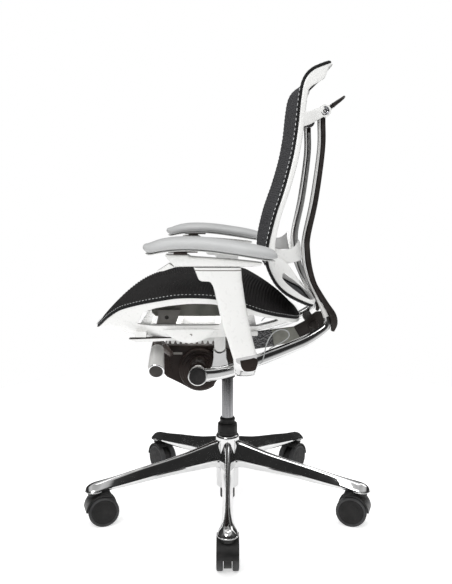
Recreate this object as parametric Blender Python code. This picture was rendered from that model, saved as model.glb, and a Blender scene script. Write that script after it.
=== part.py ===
"""Swivel office chair with a mesh seat and back on white frames and polished metal.

Metres, +Z up. The chair faces -Y and +X is its left side. The origin is on the floor under the gas column.
"""

from math import cos, pi, radians, sin

import bmesh
import bpy
import numpy as np

GAP = 0.0003  # left between pieces that touch
CLEARANCE = 0.0006  # left round pieces that turn or slide in one another

# Base and casters
LEG_COUNT = 5
CASTER_RADIUS = 0.320  # from the column to a caster's swivel axis
LEG_TIP_RADIUS = 0.0206
STEM_RADIUS = 0.0055
STEM_TOP = 0.094
WHEEL_RADIUS = 0.0350
WHEEL_SIDES = 18
AXLE_HEIGHT = WHEEL_RADIUS * cos(pi / WHEEL_SIDES)  # a flat of the tread rests on the floor
WHEEL_WIDTH = 0.0135
WHEEL_GAP = 0.019  # between the two wheels of a caster
AXLE_RADIUS = 0.004
CASTER_TRAIL = 0.019
# Leg, from the hub outwards (distance from the column, top, bottom, width)
LEG_LINE = [
    (0.0215, 0.1715, 0.1060, 0.0340), (0.0400, 0.1660, 0.1045, 0.0290), (0.0700, 0.1560, 0.1020, 0.0260),
    (0.1100, 0.1445, 0.0990, 0.0245), (0.1600, 0.1330, 0.0940, 0.0235), (0.2100, 0.1225, 0.0875, 0.0235),
    (0.2600, 0.1110, 0.0815, 0.0245), (0.2900, 0.1030, 0.0805, 0.0280), (0.3050, 0.0975, 0.0800, 0.0340),
]

# Column
TUBE_RADIUS = 0.0175
CYLINDER_RADIUS = 0.014
CYLINDER_BOTTOM = 0.125
CYLINDER_TOP = 0.350
HUB_TOP = 0.182
HUB_RADIUS = 0.028

# Mechanism and recline
ANKLE_Y = -0.063
ANKLE_Z = 0.371
SHAFT_RADIUS = 0.008
DRUM_RADIUS = 0.046
DRUM_HALF_LENGTH = 0.095
HOUSING_HALF_WIDTH = 0.068
BOSS_Y = -0.0165
BOSS_Z = 0.4305
BOSS_RADIUS = 0.012
ARM_EYE_INNER = 0.174
ARM_EYE_OUTER = 0.193
# Tension handle from its pivot in the housing (x, y, z, diameter twice)
HANDLE_LINE = [
    (0.0460, -0.128, 0.3930, 0.0120, 0.0120), (0.0600, -0.128, 0.3930, 0.0120, 0.0120),
    (0.0760, -0.128, 0.3930, 0.0120, 0.0120), (0.0880, -0.138, 0.4080, 0.0160, 0.0160),
    (0.0990, -0.149, 0.4210, 0.0210, 0.0210), (0.1120, -0.152, 0.4245, 0.0245, 0.0245),
    (0.1330, -0.152, 0.4155, 0.0270, 0.0270), (0.1650, -0.151, 0.4000, 0.0310, 0.0310),
    (0.2045, -0.150, 0.3815, 0.0350, 0.0350),
]
HANDLE_TILT = radians(25.6)

# Seat: height of the seam over the floor, from the front lip to the rear edge (y, z)
SEAT_EDGE = [
    (-0.2965, 0.4560), (-0.2810, 0.4682), (-0.2550, 0.4940), (-0.2280, 0.5145), (-0.2070, 0.5243),
    (-0.1760, 0.5340), (-0.1430, 0.5416), (-0.1030, 0.5486), (-0.0650, 0.5497), (-0.0300, 0.5476),
    (0.0000, 0.5410), (0.0400, 0.5275), (0.0630, 0.5180), (0.0960, 0.5065), (0.1260, 0.4966),
    (0.1625, 0.4800),
]
SEAT_CROWN = [
    (-0.2965, 0.4560), (-0.2820, 0.4740), (-0.2655, 0.4900), (-0.2314, 0.5200), (-0.1935, 0.5430),
    (-0.1366, 0.5590), (-0.0826, 0.5640), (-0.0300, 0.5650), (0.0330, 0.5620), (0.0640, 0.5510),
    (0.1075, 0.5280), (0.1360, 0.5080), (0.1520, 0.4925), (0.1625, 0.4800),
]
SEAT_HALF_WIDTH = 0.245
SEAT_FRONT = -0.2965
SEAT_REAR = 0.1625
SEAT_WIDEST_Y = -0.0665
SEAT_FRONT_POWER = 2.4  # squareness of the outline in front of the widest place, and behind it
SEAT_REAR_POWER = 2.7
SEAT_THICKNESS = 0.0045
SEAT_SIDES = 36  # places round the seat, the same on the mesh and its frame
SHELL_HALF_WIDTH = 0.207
SHELL_FRONT = -0.238
SHELL_REAR = 0.144
SHELL_THICKNESS = 0.007
SHELL_BOTTOM = [(-0.240, 0.4520), (-0.120, 0.4585), (0.000, 0.4600), (0.080, 0.4720), (0.150, 0.4530)]
# Side windows of the seat shell (y, z)
SEAT_WINDOWS = (
    [(-0.187, 0.484), (-0.181, 0.495), (-0.171, 0.511), (-0.150, 0.520), (-0.115, 0.528), (-0.079, 0.532),
     (-0.050, 0.532), (-0.022, 0.530), (-0.014, 0.520), (-0.016, 0.488), (-0.022, 0.482)],
    [(0.028, 0.484), (0.028, 0.508), (0.036, 0.511), (0.070, 0.502), (0.104, 0.492), (0.096, 0.486),
     (0.060, 0.480)],
)
CARRIER_TOP = 0.4560
RACK_FRONT = -0.133
RACK_TOOTH = 0.0118
RACK_COUNT = 9
DEPTH_LEVER_X = 0.2225
DEPTH_LEVER_Y = -0.078
DEPTH_LEVER_Z = 0.4785

# Back: right-hand side seam from the bottom centre to the top centre (half width, y, z)
BACK_EDGE = [
    (0.090, 0.1835, 0.5135), (0.132, 0.1820, 0.5145), (0.158, 0.1730, 0.5180), (0.172, 0.1482, 0.5300),
    (0.180, 0.1220, 0.5454), (0.186, 0.1023, 0.5645), (0.192, 0.0888, 0.5875), (0.198, 0.0804, 0.6113),
    (0.204, 0.0805, 0.6440), (0.208, 0.0929, 0.7010), (0.207, 0.1056, 0.7410), (0.197, 0.1165, 0.7742),
    (0.183, 0.1310, 0.8290), (0.171, 0.1403, 0.8827), (0.168, 0.1459, 0.9383), (0.166, 0.1510, 0.9712),
    (0.166, 0.1590, 0.9890), (0.165, 0.1725, 1.0018), (0.163, 0.1905, 1.0100), (0.154, 0.2060, 1.0158),
    (0.125, 0.2110, 1.0178), (0.085, 0.2115, 1.0182),
]
# Depth of the back frame behind the seam and its thickness, at the share of the way from bottom to top
BACK_DEPTH = [
    (0.00, 0.010), (0.06, 0.010), (0.12, 0.022), (0.20, 0.040), (0.28, 0.036), (0.35, 0.013), (0.60, 0.012),
    (0.78, 0.013), (0.81, 0.016), (0.85, 0.027), (0.88, 0.033), (0.92, 0.032), (0.96, 0.025), (1.00, 0.024),
]
BACK_FRAME_THICKNESS = 0.008
BACK_STATIONS = 26  # cross sections up each side, the same on the mesh and its frame
BACK_HOLLOW = 0.010  # how far the middle of the back lies behind its sides
BACK_MESH_FRONT = 0.0030
BACK_MESH_REAR = 0.0012
# Lower side slot of the back frame (y, z)
BACK_SLOT = [
    (0.113, 0.5870), (0.118, 0.5900), (0.130, 0.5800), (0.172, 0.5440), (0.182, 0.5330), (0.178, 0.5290),
    (0.160, 0.5370), (0.130, 0.5600), (0.114, 0.5770),
]

# Lower arm and upright of the metal back support (x, y, z, width along x, depth across)
SUPPORT_LINE = [
    (0.1835, -0.063, 0.371, 0.017, 0.030), (0.1800, -0.020, 0.3745, 0.017, 0.026),
    (0.1730, 0.025, 0.3860, 0.018, 0.025), (0.1620, 0.075, 0.4030, 0.018, 0.025),
    (0.1510, 0.125, 0.4200, 0.018, 0.024), (0.1430, 0.172, 0.4385, 0.018, 0.023),
    (0.1385, 0.2070, 0.4620, 0.018, 0.0175), (0.1370, 0.2138, 0.4780, 0.018, 0.0122),
    (0.1360, 0.2065, 0.5010, 0.018, 0.0082), (0.1350, 0.1970, 0.5190, 0.018, 0.0070),
    (0.1340, 0.1830, 0.5460, 0.018, 0.0056), (0.1335, 0.1718, 0.5710, 0.018, 0.0052),
    (0.1330, 0.1638, 0.5950, 0.018, 0.0052), (0.1325, 0.1598, 0.6280, 0.018, 0.0052),
    (0.1325, 0.1612, 0.6610, 0.018, 0.0050), (0.1330, 0.1765, 0.7400, 0.018, 0.0050),
    (0.1335, 0.1895, 0.8430, 0.018, 0.0050), (0.1340, 0.1890, 0.9060, 0.018, 0.0050),
]
COVER_LINE = [
    (0.1380, 0.2262, 0.4590, 0.018, 0.0075), (0.1370, 0.2290, 0.4740, 0.018, 0.0150),
    (0.1365, 0.2255, 0.4920, 0.018, 0.0160), (0.1355, 0.2130, 0.5130, 0.018, 0.0130),
    (0.1345, 0.1975, 0.5380, 0.018, 0.0115), (0.1335, 0.1845, 0.5620, 0.018, 0.0110),
    (0.1330, 0.1743, 0.5950, 0.018, 0.0125), (0.1325, 0.1698, 0.6280, 0.018, 0.0122),
    (0.1325, 0.1702, 0.6610, 0.018, 0.0115), (0.1330, 0.1860, 0.7400, 0.018, 0.0105),
    (0.1335, 0.1984, 0.8430, 0.018, 0.0098), (0.1340, 0.1978, 0.9060, 0.018, 0.0100),
]
PIVOT_Y = 0.199
PIVOT_Z = 0.9195
PIVOT_RADIUS = 0.012
# Left half of the coat hanger's bar (x, y, z, width, depth)
HANGER_LINE = [
    (0.1330, 0.2125, 0.9285, 0.012, 0.0085), (0.1320, 0.2240, 0.9370, 0.012, 0.0075),
    (0.1220, 0.2370, 0.9465, 0.012, 0.0060), (0.0950, 0.2440, 0.9525, 0.012, 0.0050),
    (0.0500, 0.2470, 0.9550, 0.012, 0.0045), (0.0000, 0.2480, 0.9560, 0.012, 0.0040),
]

# Arms
ARM_X = 0.285
ARM_SLOPE = 0.2375  # forward travel of the post for each metre it rises
STEM_Y = 0.0235  # middle of the inner stem at STEM_BOTTOM
STEM_BOTTOM = 0.470
STEM_HALF_DEPTH = 0.016
STEM_HALF_WIDTH = 0.009
POST_TOP = 0.6120
SOCKET_TOP = 0.4375
CRADLE_BOTTOM = 0.6135
PAD_HALF_WIDTH = 0.0465
PAD_THICKNESS = 0.024
PAD_BASE_THICKNESS = 0.0025
# Underside of the arm pad (y, z)
PAD_LINE = [
    (-0.1620, 0.6420), (-0.1500, 0.6385), (-0.1230, 0.6440), (-0.0910, 0.6470), (-0.0420, 0.6455),
    (0.0220, 0.6370), (0.0710, 0.6285), (0.0950, 0.6245),
]
# Post outline (z, front y, rear y)
POST_OUTLINE = [
    (0.4380, 0.0100, 0.0555), (0.4640, 0.0010, 0.0500), (0.4970, -0.0095, 0.0430), (0.5370, -0.0195, 0.0350),
    (0.5700, -0.0270, 0.0300), (0.5810, -0.0330, 0.0285), (0.5880, -0.0470, 0.0275),
    (0.5980, -0.0580, 0.0265),
    (POST_TOP, -0.0650, 0.0255),
]
# Cradle under the arm pad (y, bottom z, top z)
CRADLE_LINE = [
    (-0.1190, 0.6335, 0.6360), (-0.1140, 0.6275, 0.6370), (-0.1070, 0.6190, 0.6375),
    (-0.1000, CRADLE_BOTTOM, 0.6375), (-0.0770, CRADLE_BOTTOM, 0.6370), (-0.0700, CRADLE_BOTTOM, 0.6315),
    (-0.0300, CRADLE_BOTTOM, 0.6290), (0.0200, CRADLE_BOTTOM, 0.6250), (0.0480, 0.6145, 0.6220),
    (0.0640, 0.6170, 0.6195),
]
# Height lever under the cradle (y, z)
ARM_LEVER_OUTLINE = [
    (-0.1360, 0.6050), (-0.1130, 0.6212), (-0.1045, 0.6160), (-0.1040, 0.6125), (-0.1240, 0.6055),
]
# Route of the control cable behind the arm bracket (x, y, z)
CABLE_ROUTE = [
    (0.2760, 0.0640, 0.4190), (0.2730, 0.0690, 0.4240), (0.2670, 0.0730, 0.4380), (0.2590, 0.0770, 0.4530),
    (0.2500, 0.0840, 0.4660), (0.2400, 0.0930, 0.4745), (0.2300, 0.1040, 0.4780), (0.2210, 0.1150, 0.4765),
    (0.2120, 0.1235, 0.4710), (0.2030, 0.1270, 0.4620), (0.1940, 0.1235, 0.4520), (0.1860, 0.1130, 0.4430),
    (0.1790, 0.1010, 0.4350), (0.1735, 0.0920, 0.4285), (0.1700, 0.0880, 0.4240),
]
CABLE_RADIUS = 0.0011

COLOURS = {
    "polished_metal": ((0.78, 0.78, 0.79), 0.08, 1.0),
    "steel": ((0.42, 0.42, 0.43), 0.30, 1.0),
    "white_plastic": ((0.86, 0.86, 0.84), 0.30, 0.0),
    "black_plastic": ((0.018, 0.017, 0.017), 0.40, 0.0),
    "dark_plastic": ((0.050, 0.046, 0.044), 0.50, 0.0),
    "mesh_fabric": ((0.016, 0.016, 0.017), 0.75, 0.0),
    "pad_grey": ((0.47, 0.48, 0.49), 0.55, 0.0),
    "wheel_rubber": ((0.025, 0.025, 0.026), 0.60, 0.0),
}

SIDES = (("left", 1), ("right", -1))


# Shared shape tools


def smooth_path(points, count, steps=16):
    """Evenly spaced points on a smooth curve through the given ones. Extra columns follow along."""
    knots = np.array(points, float)
    ends = np.vstack([2 * knots[0] - knots[1], knots, 2 * knots[-1] - knots[-2]])
    fine = []
    for a, b, c, d in zip(ends, ends[1:], ends[2:], ends[3:]):
        for t in np.arange(steps) / steps:
            bend = (2 * a - 5 * b + 4 * c - d) * t**2 + (3 * b - a - 3 * c + d) * t**3
            fine.append(b + 0.5 * ((c - a) * t + bend))
    fine = np.array(fine + [knots[-1]])
    width = min(3, fine.shape[1])
    lengths = np.cumsum(np.r_[0, np.linalg.norm(np.diff(fine[:, :width], axis=0), axis=1)])
    places = np.linspace(0, lengths[-1], count)
    return np.column_stack([np.interp(places, lengths, column) for column in fine.T])


def value_at(table, place):
    """Reads the second column of a two-column table at a place in the first."""
    return float(np.interp(place, [row[0] for row in table], [row[1] for row in table]))


def unit(vector):
    vector = np.asarray(vector, float)
    return vector / np.linalg.norm(vector)


def oval(centre, across, up, width, height, power, sides):
    """A ring of points on a rounded rectangle: power 2 is an ellipse, and more is squarer."""
    ring = []
    for angle in np.arange(sides) * 2 * pi / sides + pi / sides:
        c, s = cos(angle), sin(angle)
        a = np.sign(c) * abs(c) ** (2 / power) * width / 2
        b = np.sign(s) * abs(s) ** (2 / power) * height / 2
        ring.append(centre + a * across + b * up)
    return ring


def sweep(stations, side, power=2.6, sides=10):
    """Rings along stations (x, y, z, width along side, height across it)."""
    stations = np.asarray(stations, float)
    centres = stations[:, :3]
    tangents = np.gradient(centres, axis=0)
    rings = []
    for centre, tangent, (width, height) in zip(centres, tangents, stations[:, 3:5]):
        along = unit(tangent)
        across = unit(np.asarray(side, float) - np.dot(side, along) * along)
        rings.append(oval(centre, across, np.cross(along, across), width, height, power, sides))
    return rings


def loft(rings, closed=False):
    """Joins rings of equal length into (points, faces): a body with two caps, or an endless one."""
    size = len(rings[0])
    points = [tuple(point) for ring in rings for point in ring]
    faces = []
    for row in range(len(rings) if closed else len(rings) - 1):
        low, high = row * size, (row + 1) % len(rings) * size
        for i in range(size):
            j = (i + 1) % size
            faces.append((low + i, low + j, high + j, high + i))
    if not closed:
        faces.append(tuple(range(size)))
        faces.append(tuple(range(len(points) - size, len(points))))
    return points, faces


def turned(profile, centre, axis, segments=24, capped=False, facing=(0.31, 0.52, 0.79)):
    """Turns an outline of (radius, height) about an axis: closed, or starting and ending in caps.

    A flat of the faceted surface looks towards facing.
    """
    axis = unit(axis)
    side = unit(np.asarray(facing, float) - np.dot(facing, axis) * axis)
    other = np.cross(axis, side)
    rings = []
    for radius, height in profile:
        middle = np.asarray(centre, float) + height * axis
        rings.append(oval(middle, side, other, 2 * radius, 2 * radius, 2, segments))
    return loft(rings, closed=not capped)


def rod(start, end, radius, segments=20):
    """A solid round bar from start to end."""
    start, end = np.asarray(start, float), np.asarray(end, float)
    along = unit(end - start)
    across = unit(np.cross(along, (0.31, 0.52, 0.79)))
    up = np.cross(along, across)
    return loft([oval(place, across, up, 2 * radius, 2 * radius, 2, segments) for place in (start, end)])


def plate(outline, low, high):
    """An outline of (y, z) points, thick from x = low to x = high."""
    return loft([[(x, y, z) for y, z in outline] for x in (low, high)])


def block(low, high):
    """A box between two corners."""
    outline = [(low[1], low[2]), (high[1], low[2]), (high[1], high[2]), (low[1], high[2])]
    return plate(outline, low[0], high[0])


def arc(centre, radius, start, end, count):
    """Points (y, z) on an arc, in degrees from +Y towards +Z."""
    angles = np.radians(np.linspace(start, end, count))
    return [(centre[0] + radius * cos(a), centre[1] + radius * sin(a)) for a in angles]


def mirrored(shape, sign):
    """The same shape on the left (sign 1) or the right side (sign -1)."""
    points, faces = shape
    return [(sign * x, y, z) for x, y, z in points], faces


# Objects and materials


def make_materials():
    made = {}
    for name, (colour, roughness, metallic) in COLOURS.items():
        material = bpy.data.materials.new(name)
        material.use_nodes = True
        shader = material.node_tree.nodes["Principled BSDF"]
        shader.inputs["Base Color"].default_value = (*colour, 1.0)
        shader.inputs["Roughness"].default_value = roughness
        shader.inputs["Metallic"].default_value = metallic
        material.diffuse_color = (*colour, 1.0)
        made[name] = material
    return made


def solid(name, shape, material, origin=(0.0, 0.0, 0.0)):
    """Makes one object of a closed shape, with its origin on its joint's axis or at the world's."""
    points, faces = shape
    mesh = bpy.data.meshes.new(name)
    mesh.from_pydata([tuple(np.subtract(point, origin)) for point in points], [], faces)
    body = bmesh.new()
    body.from_mesh(mesh)
    bmesh.ops.recalc_face_normals(body, faces=body.faces)
    if body.calc_volume(signed=True) < 0:
        bmesh.ops.reverse_faces(body, faces=body.faces)
    body.to_mesh(mesh)
    body.free()
    mesh.shade_smooth()
    mesh.set_sharp_from_angle(angle=radians(40))
    piece = bpy.data.objects.new(name, mesh)
    piece.location = origin
    if material:
        mesh.materials.append(material)
    bpy.context.scene.collection.objects.link(piece)
    return piece


def change(piece, operation, *shapes):
    """Adds shapes to a piece (UNION) or cuts them out of it (DIFFERENCE) with Boolean modifiers."""
    for shape in shapes:
        helper = solid(f"{piece.name}_helper", shape, None)
        helper.hide_render = True
        helper.display_type = "WIRE"
        boolean = piece.modifiers.new(operation.title(), "BOOLEAN")
        boolean.operation = operation
        boolean.solver = "EXACT"
        boolean.object = helper


# Base, casters and column


def leg_rings(angle, count, sides):
    """A leg: a narrow blade that rises to the hub, with a round tip over the caster."""
    out = np.array([cos(angle), sin(angle), 0.0])
    across = np.array([-sin(angle), cos(angle), 0.0])
    rings = []
    for distance, top, bottom, width in smooth_path(LEG_LINE, count):
        middle = out * distance + np.array([0, 0, (top + bottom) / 2])
        rings.append(oval(middle, across, np.array([0, 0, 1.0]), width, top - bottom, 2.3, sides))
    return rings


def make_base(materials):
    hub = [(0.0180, 0.0550), (0.0270, 0.0550), (0.0275, 0.1000), (HUB_RADIUS, 0.1600), (HUB_RADIUS, 0.1790),
           (0.0255, HUB_TOP), (0.0180, HUB_TOP)]
    base = solid("base_star", turned(hub, (0, 0, 0), (0, 0, 1), 24), materials["polished_metal"])
    tip = [(LEG_TIP_RADIUS, 0.0806), (LEG_TIP_RADIUS, 0.0855), (0.0175, 0.0925), (0.0090, 0.0970)]
    bore = TUBE_RADIUS + CLEARANCE
    for index in range(LEG_COUNT):
        angle = index * 2 * pi / LEG_COUNT
        place = (CASTER_RADIUS * cos(angle), CASTER_RADIUS * sin(angle), 0)
        change(base, "UNION", loft(leg_rings(angle, 8, 8)), turned(tip, place, (0, 0, 1), 16, capped=True))
        socket = rod((*place[:2], 0.070), (*place[:2], STEM_TOP + CLEARANCE), STEM_RADIUS + CLEARANCE, 12)
        change(base, "DIFFERENCE", socket)
    change(base, "DIFFERENCE", rod((0, 0, 0.04), (0, 0, 0.20), bore, 24))
    return base


def make_column(materials):
    axis = ((0, 0, 0), (0, 0, 1))
    inner = CYLINDER_RADIUS + CLEARANCE
    tube = [(0.0056, 0.0260), (TUBE_RADIUS, 0.0260), (TUBE_RADIUS, 0.2140), (inner, 0.2140), (inner, 0.0300),
            (0.0056, 0.0300)]
    solid("gas_tube", turned(tube, *axis), materials["black_plastic"])
    outer = TUBE_RADIUS + GAP
    collar = [(outer, HUB_TOP + GAP), (0.0235, HUB_TOP + GAP), (0.0235, 0.2060), (0.0220, 0.2100),
              (0.0180, 0.2110), (0.0170, 0.2225), (0.0160, 0.2240), (inner, 0.2240), (inner, 0.2145),
              (outer, 0.2145)]
    solid("column_collar", turned(collar, *axis), materials["black_plastic"])
    cylinder = [(0.0110, 0.3300), (0.0110, CYLINDER_BOTTOM), (CYLINDER_RADIUS, CYLINDER_BOTTOM),
                (CYLINDER_RADIUS, CYLINDER_TOP)]
    solid("gas_cylinder", turned(cylinder, *axis, capped=True), materials["steel"])
    piston = [(0.0050, 0.0215), (0.0050, 0.2150), (0.0105, 0.2150), (0.0105, 0.2300)]
    solid("piston_rod", turned(piston, *axis, 16, capped=True), materials["steel"])
    bearing = [(0.0056, 0.0303), (0.0130, 0.0303), (0.0130, 0.0340), (0.0056, 0.0340)]
    solid("thrust_bearing", turned(bearing, *axis, 16), materials["steel"])
    clip = [(0.0053, 0.0225), (0.0090, 0.0225), (0.0090, 0.0257), (0.0053, 0.0257)]
    solid("retaining_clip", turned(clip, *axis, 16), materials["steel"])


def wheel_profile(inner_side):
    """Outline (radius, distance from the caster's middle) of a wheel with a tread, a rim step and a hub."""
    near, far = inner_side, inner_side + WHEEL_WIDTH
    bore = AXLE_RADIUS + GAP
    return [(bore, near), (0.0325, near), (WHEEL_RADIUS, near + 0.0022), (WHEEL_RADIUS, far - 0.0022),
            (0.0325, far), (0.0250, far - 0.0010), (bore, far - 0.0010)]


def hood_shapes():
    """The shapes of a caster hood in its own frame: outward +X, axle along Y, swivel axis at x = 0."""
    axle = (-CASTER_TRAIL, AXLE_HEIGHT)
    rib_half = WHEEL_GAP / 2 - 0.0012
    rib = arc(axle, 0.0300, -200, 60, 10) + [(0.006, 0.0735), (-0.006, 0.0735)]
    shell = arc(axle, 0.0405, 8, 118, 8) + arc(axle, 0.0368, 118, 8, 8)
    half = WHEEL_GAP / 2 + WHEEL_WIDTH
    return {
        "rib": ([(y, -rib_half, z) for y, z in rib], [(y, rib_half, z) for y, z in rib]),
        "shell": ([(y, -half, z) for y, z in shell], [(y, half, z) for y, z in shell]),
    }


def turn_about(points, angle, place):
    """Turns points about the vertical through the origin and moves them to place."""
    c, s = cos(angle), sin(angle)
    return [(c * x - s * y + place[0], s * x + c * y + place[1], z) for x, y, z in points]


def make_casters(materials):
    for index in range(LEG_COUNT):
        angle = index * 2 * pi / LEG_COUNT
        place = (CASTER_RADIUS * cos(angle), CASTER_RADIUS * sin(angle))
        along = np.array([-sin(angle), cos(angle), 0])
        hood = hood_shapes()
        rib = loft([turn_about(ring, angle, place) for ring in hood["rib"]])
        shell = loft([turn_about(ring, angle, place) for ring in hood["shell"]])
        piece = solid(f"caster_hood_{index + 1}", rib, materials["black_plastic"], (*place, 0))
        centre = np.array([(CASTER_RADIUS - CASTER_TRAIL) * cos(angle),
                           (CASTER_RADIUS - CASTER_TRAIL) * sin(angle), AXLE_HEIGHT])
        reach = WHEEL_GAP / 2 + WHEEL_WIDTH - 0.003
        axle = rod(centre - reach * along, centre + reach * along, AXLE_RADIUS, 12)
        stem = rod((*place, 0.066), (*place, STEM_TOP), STEM_RADIUS, 12)
        cup = rod((*place, 0.068), (*place, 0.0800), 0.0130, 12)
        change(piece, "UNION", shell, cup, stem, axle)
        for name, sign in SIDES:
            profile = [(radius, sign * height) for radius, height in wheel_profile(WHEEL_GAP / 2)]
            wheel = turned(profile, centre, along, WHEEL_SIDES, facing=(0, 0, 1))
            solid(f"wheel_{index + 1}_{name}", wheel, materials["wheel_rubber"], tuple(centre))


# Mechanism


def make_mechanism(materials):
    outline = [(-0.150, 0.395), (-0.144, 0.343), (-0.106, 0.322)] + arc((-0.063, 0.355), 0.050, -125, -50, 6)
    outline += [(-0.020, 0.3480), (0.018, 0.3500), (0.036, 0.362), (0.036, 0.378), (0.020, 0.398),
                (-0.020, 0.411), (-0.132, 0.411)]
    housing = solid("mech_housing", plate(outline, -HOUSING_HALF_WIDTH, HOUSING_HALF_WIDTH),
                    materials["black_plastic"])
    drum = rod((-DRUM_HALF_LENGTH, ANKLE_Y, ANKLE_Z - 0.012), (DRUM_HALF_LENGTH, ANKLE_Y, ANKLE_Z - 0.012),
               DRUM_RADIUS, 28)
    change(housing, "UNION", drum, rod((0, 0, 0.3215), (0, 0, 0.3700), 0.0180, 24))
    shaft_hole = rod((-0.12, ANKLE_Y, ANKLE_Z), (0.12, ANKLE_Y, ANKLE_Z), SHAFT_RADIUS + CLEARANCE, 20)
    spring_room = rod((0.030, ANKLE_Y, ANKLE_Z), (0.12, ANKLE_Y, ANKLE_Z), 0.0170, 20)
    column_hole = rod((0, 0, 0.30), (0, 0, CYLINDER_TOP + CLEARANCE), CYLINDER_RADIUS + GAP, 24)
    handle_hole = rod((0.040, -0.128, 0.393), (0.080, -0.128, 0.393), 0.0072, 14)
    change(housing, "DIFFERENCE", shaft_hole, spring_room, column_hole, handle_hole)
    half = ARM_EYE_INNER - GAP
    solid("ankle_shaft", rod((-half, ANKLE_Y, ANKLE_Z), (half, ANKLE_Y, ANKLE_Z), SHAFT_RADIUS),
          materials["steel"], (0, ANKLE_Y, ANKLE_Z))
    solid("recline_spring", loft(spring_rings(5, 10, 5)), materials["steel"])


def spring_rings(turns, steps, sides):
    """A coil round the ankle shaft, inside the drum."""
    coil_radius, wire_radius, start, pitch = 0.0125, 0.0019, 0.036, 0.0088
    angles = np.arange(turns * steps + 1) * 2 * pi / steps
    route = [(start + pitch * a / (2 * pi), ANKLE_Y + coil_radius * cos(a), ANKLE_Z + coil_radius * sin(a),
              2 * wire_radius, 2 * wire_radius) for a in angles]
    return sweep(route, (1, 0, 0), 2, sides)


def make_handle(materials):
    axis = np.array([cos(HANDLE_TILT), 0, -sin(HANDLE_TILT)])
    pivot = HANDLE_LINE[0][:3]
    solid("tension_handle", loft(sweep(smooth_path(HANDLE_LINE, 16), (0, 1, 0), 2, 12)),
          materials["polished_metal"], pivot)
    end = np.array(HANDLE_LINE[-1][:3]) + axis * (GAP + 0.0004)
    solid("tension_handle_cap", rod(end, end + 0.0025 * axis, 0.0140, 20), materials["black_plastic"], pivot)


# Seat


def plan_point(angle, half_width, front, rear):
    """A point (x, y) of the seat's rounded outline in plan, seen from above."""
    c, s = cos(angle), sin(angle)
    power = SEAT_FRONT_POWER if s < 0 else SEAT_REAR_POWER
    reach = SEAT_WIDEST_Y - front if s < 0 else rear - SEAT_WIDEST_Y
    x = np.sign(c) * abs(c) ** (2 / power) * half_width
    return x, SEAT_WIDEST_Y + np.sign(s) * abs(s) ** (2 / power) * reach


def even_angles(count):
    """Angles that space the points of plan_point evenly along the outline."""
    fine = np.linspace(0, 2 * pi, 721)
    points = np.array([plan_point(a, SEAT_HALF_WIDTH, SEAT_FRONT, SEAT_REAR) for a in fine])
    lengths = np.cumsum(np.r_[0, np.linalg.norm(np.diff(points, axis=0), axis=1)])
    return np.interp(np.arange(count) * lengths[-1] / count, lengths, fine)


def seat_top(y, share):
    """Height of the seat surface where share runs from 0 in the middle to 1 at the seam."""
    edge, crown = value_at(SEAT_EDGE, y), value_at(SEAT_CROWN, y)
    return edge + (crown - edge) * (1 - share**6)


def make_seat_mesh(materials):
    """A domed sheet: its underside from the middle outwards, then its top from the seam inwards."""
    shares = (1.0, 0.93, 0.80, 0.60, 0.35, 0.12)
    rings = []
    for rise, order in ((0.0, shares[::-1]), (SEAT_THICKNESS, shares)):
        for share in order:
            ring = []
            front = SEAT_WIDEST_Y + (SEAT_FRONT - SEAT_WIDEST_Y) * share
            rear = SEAT_WIDEST_Y + (SEAT_REAR - SEAT_WIDEST_Y) * share
            for angle in even_angles(SEAT_SIDES):
                x, y = plan_point(angle, SEAT_HALF_WIDTH * share, front, rear)
                ring.append((x, y, seat_top(y, share) + 0.001 + rise))
            rings.append(ring)
    solid("seat_mesh", loft(rings), materials["mesh_fabric"])


def shell_pair(angle):
    """The upper and lower edge of the seat shell at one place round the outline."""
    x, y = plan_point(angle, SEAT_HALF_WIDTH - 0.002, SEAT_FRONT + 0.002, SEAT_REAR - 0.002)
    upper = np.array([x, y, value_at(SEAT_EDGE, y) - 0.001])
    x, y = plan_point(angle, SHELL_HALF_WIDTH, SHELL_FRONT, SHELL_REAR)
    lower = np.array([x, y, value_at(SHELL_BOTTOM, y)])
    rim = upper + np.array([0, 0, -0.010])
    share = min(1.0, max(0.0, (upper[1] - 0.085) / 0.05))
    return upper, lower * (1 - share) + rim * share


def band(pairs, thickness):
    """An endless plate whose two edges run round a pair of loops."""
    middles = np.array([(a + b) / 2 for a, b in pairs])
    tangents = np.roll(middles, -1, axis=0) - np.roll(middles, 1, axis=0)
    rings = []
    for (a, b), tangent in zip(pairs, tangents):
        down = unit(b - a)
        out = unit(np.cross(tangent, down)) * thickness / 2
        inset = down * thickness * 0.35
        rings.append([a + inset + out, a + out * 0.4, a - out * 0.4, a + inset - out,
                      b - inset - out, b - out * 0.4, b + out * 0.4, b - inset + out])
    return loft(rings, closed=True)


def make_seat_frame(materials):
    pairs = [shell_pair(angle) for angle in even_angles(SEAT_SIDES)]
    frame = solid("seat_frame", band(pairs, SHELL_THICKNESS), materials["white_plastic"])
    for outline in SEAT_WINDOWS:
        change(frame, "DIFFERENCE", plate(outline, -0.30, 0.30))
    low, high = CARRIER_TOP + 0.0010, CARRIER_TOP + 0.0130
    lug = [(-0.150, high - 0.002), (-0.100, high - 0.002), (-0.108, 0.500), (-0.114, 0.506), (-0.134, 0.506),
           (-0.140, 0.500)]
    for sign in (1, -1):
        rib = mirrored(block((0.104, -0.190, low), (0.116, 0.062, high)), sign)
        change(frame, "UNION", rib, mirrored(plate(lug, 0.107, 0.113), sign))
    change(frame, "UNION", block((-0.205, -0.192, low), (0.205, -0.168, high)),
           block((-0.205, 0.040, low + 0.001), (0.205, 0.062, high + 0.001)))
    change(frame, "DIFFERENCE", rod((-0.2, -0.124, 0.490), (0.2, -0.124, 0.490), 0.0045, 14))
    return frame


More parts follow.
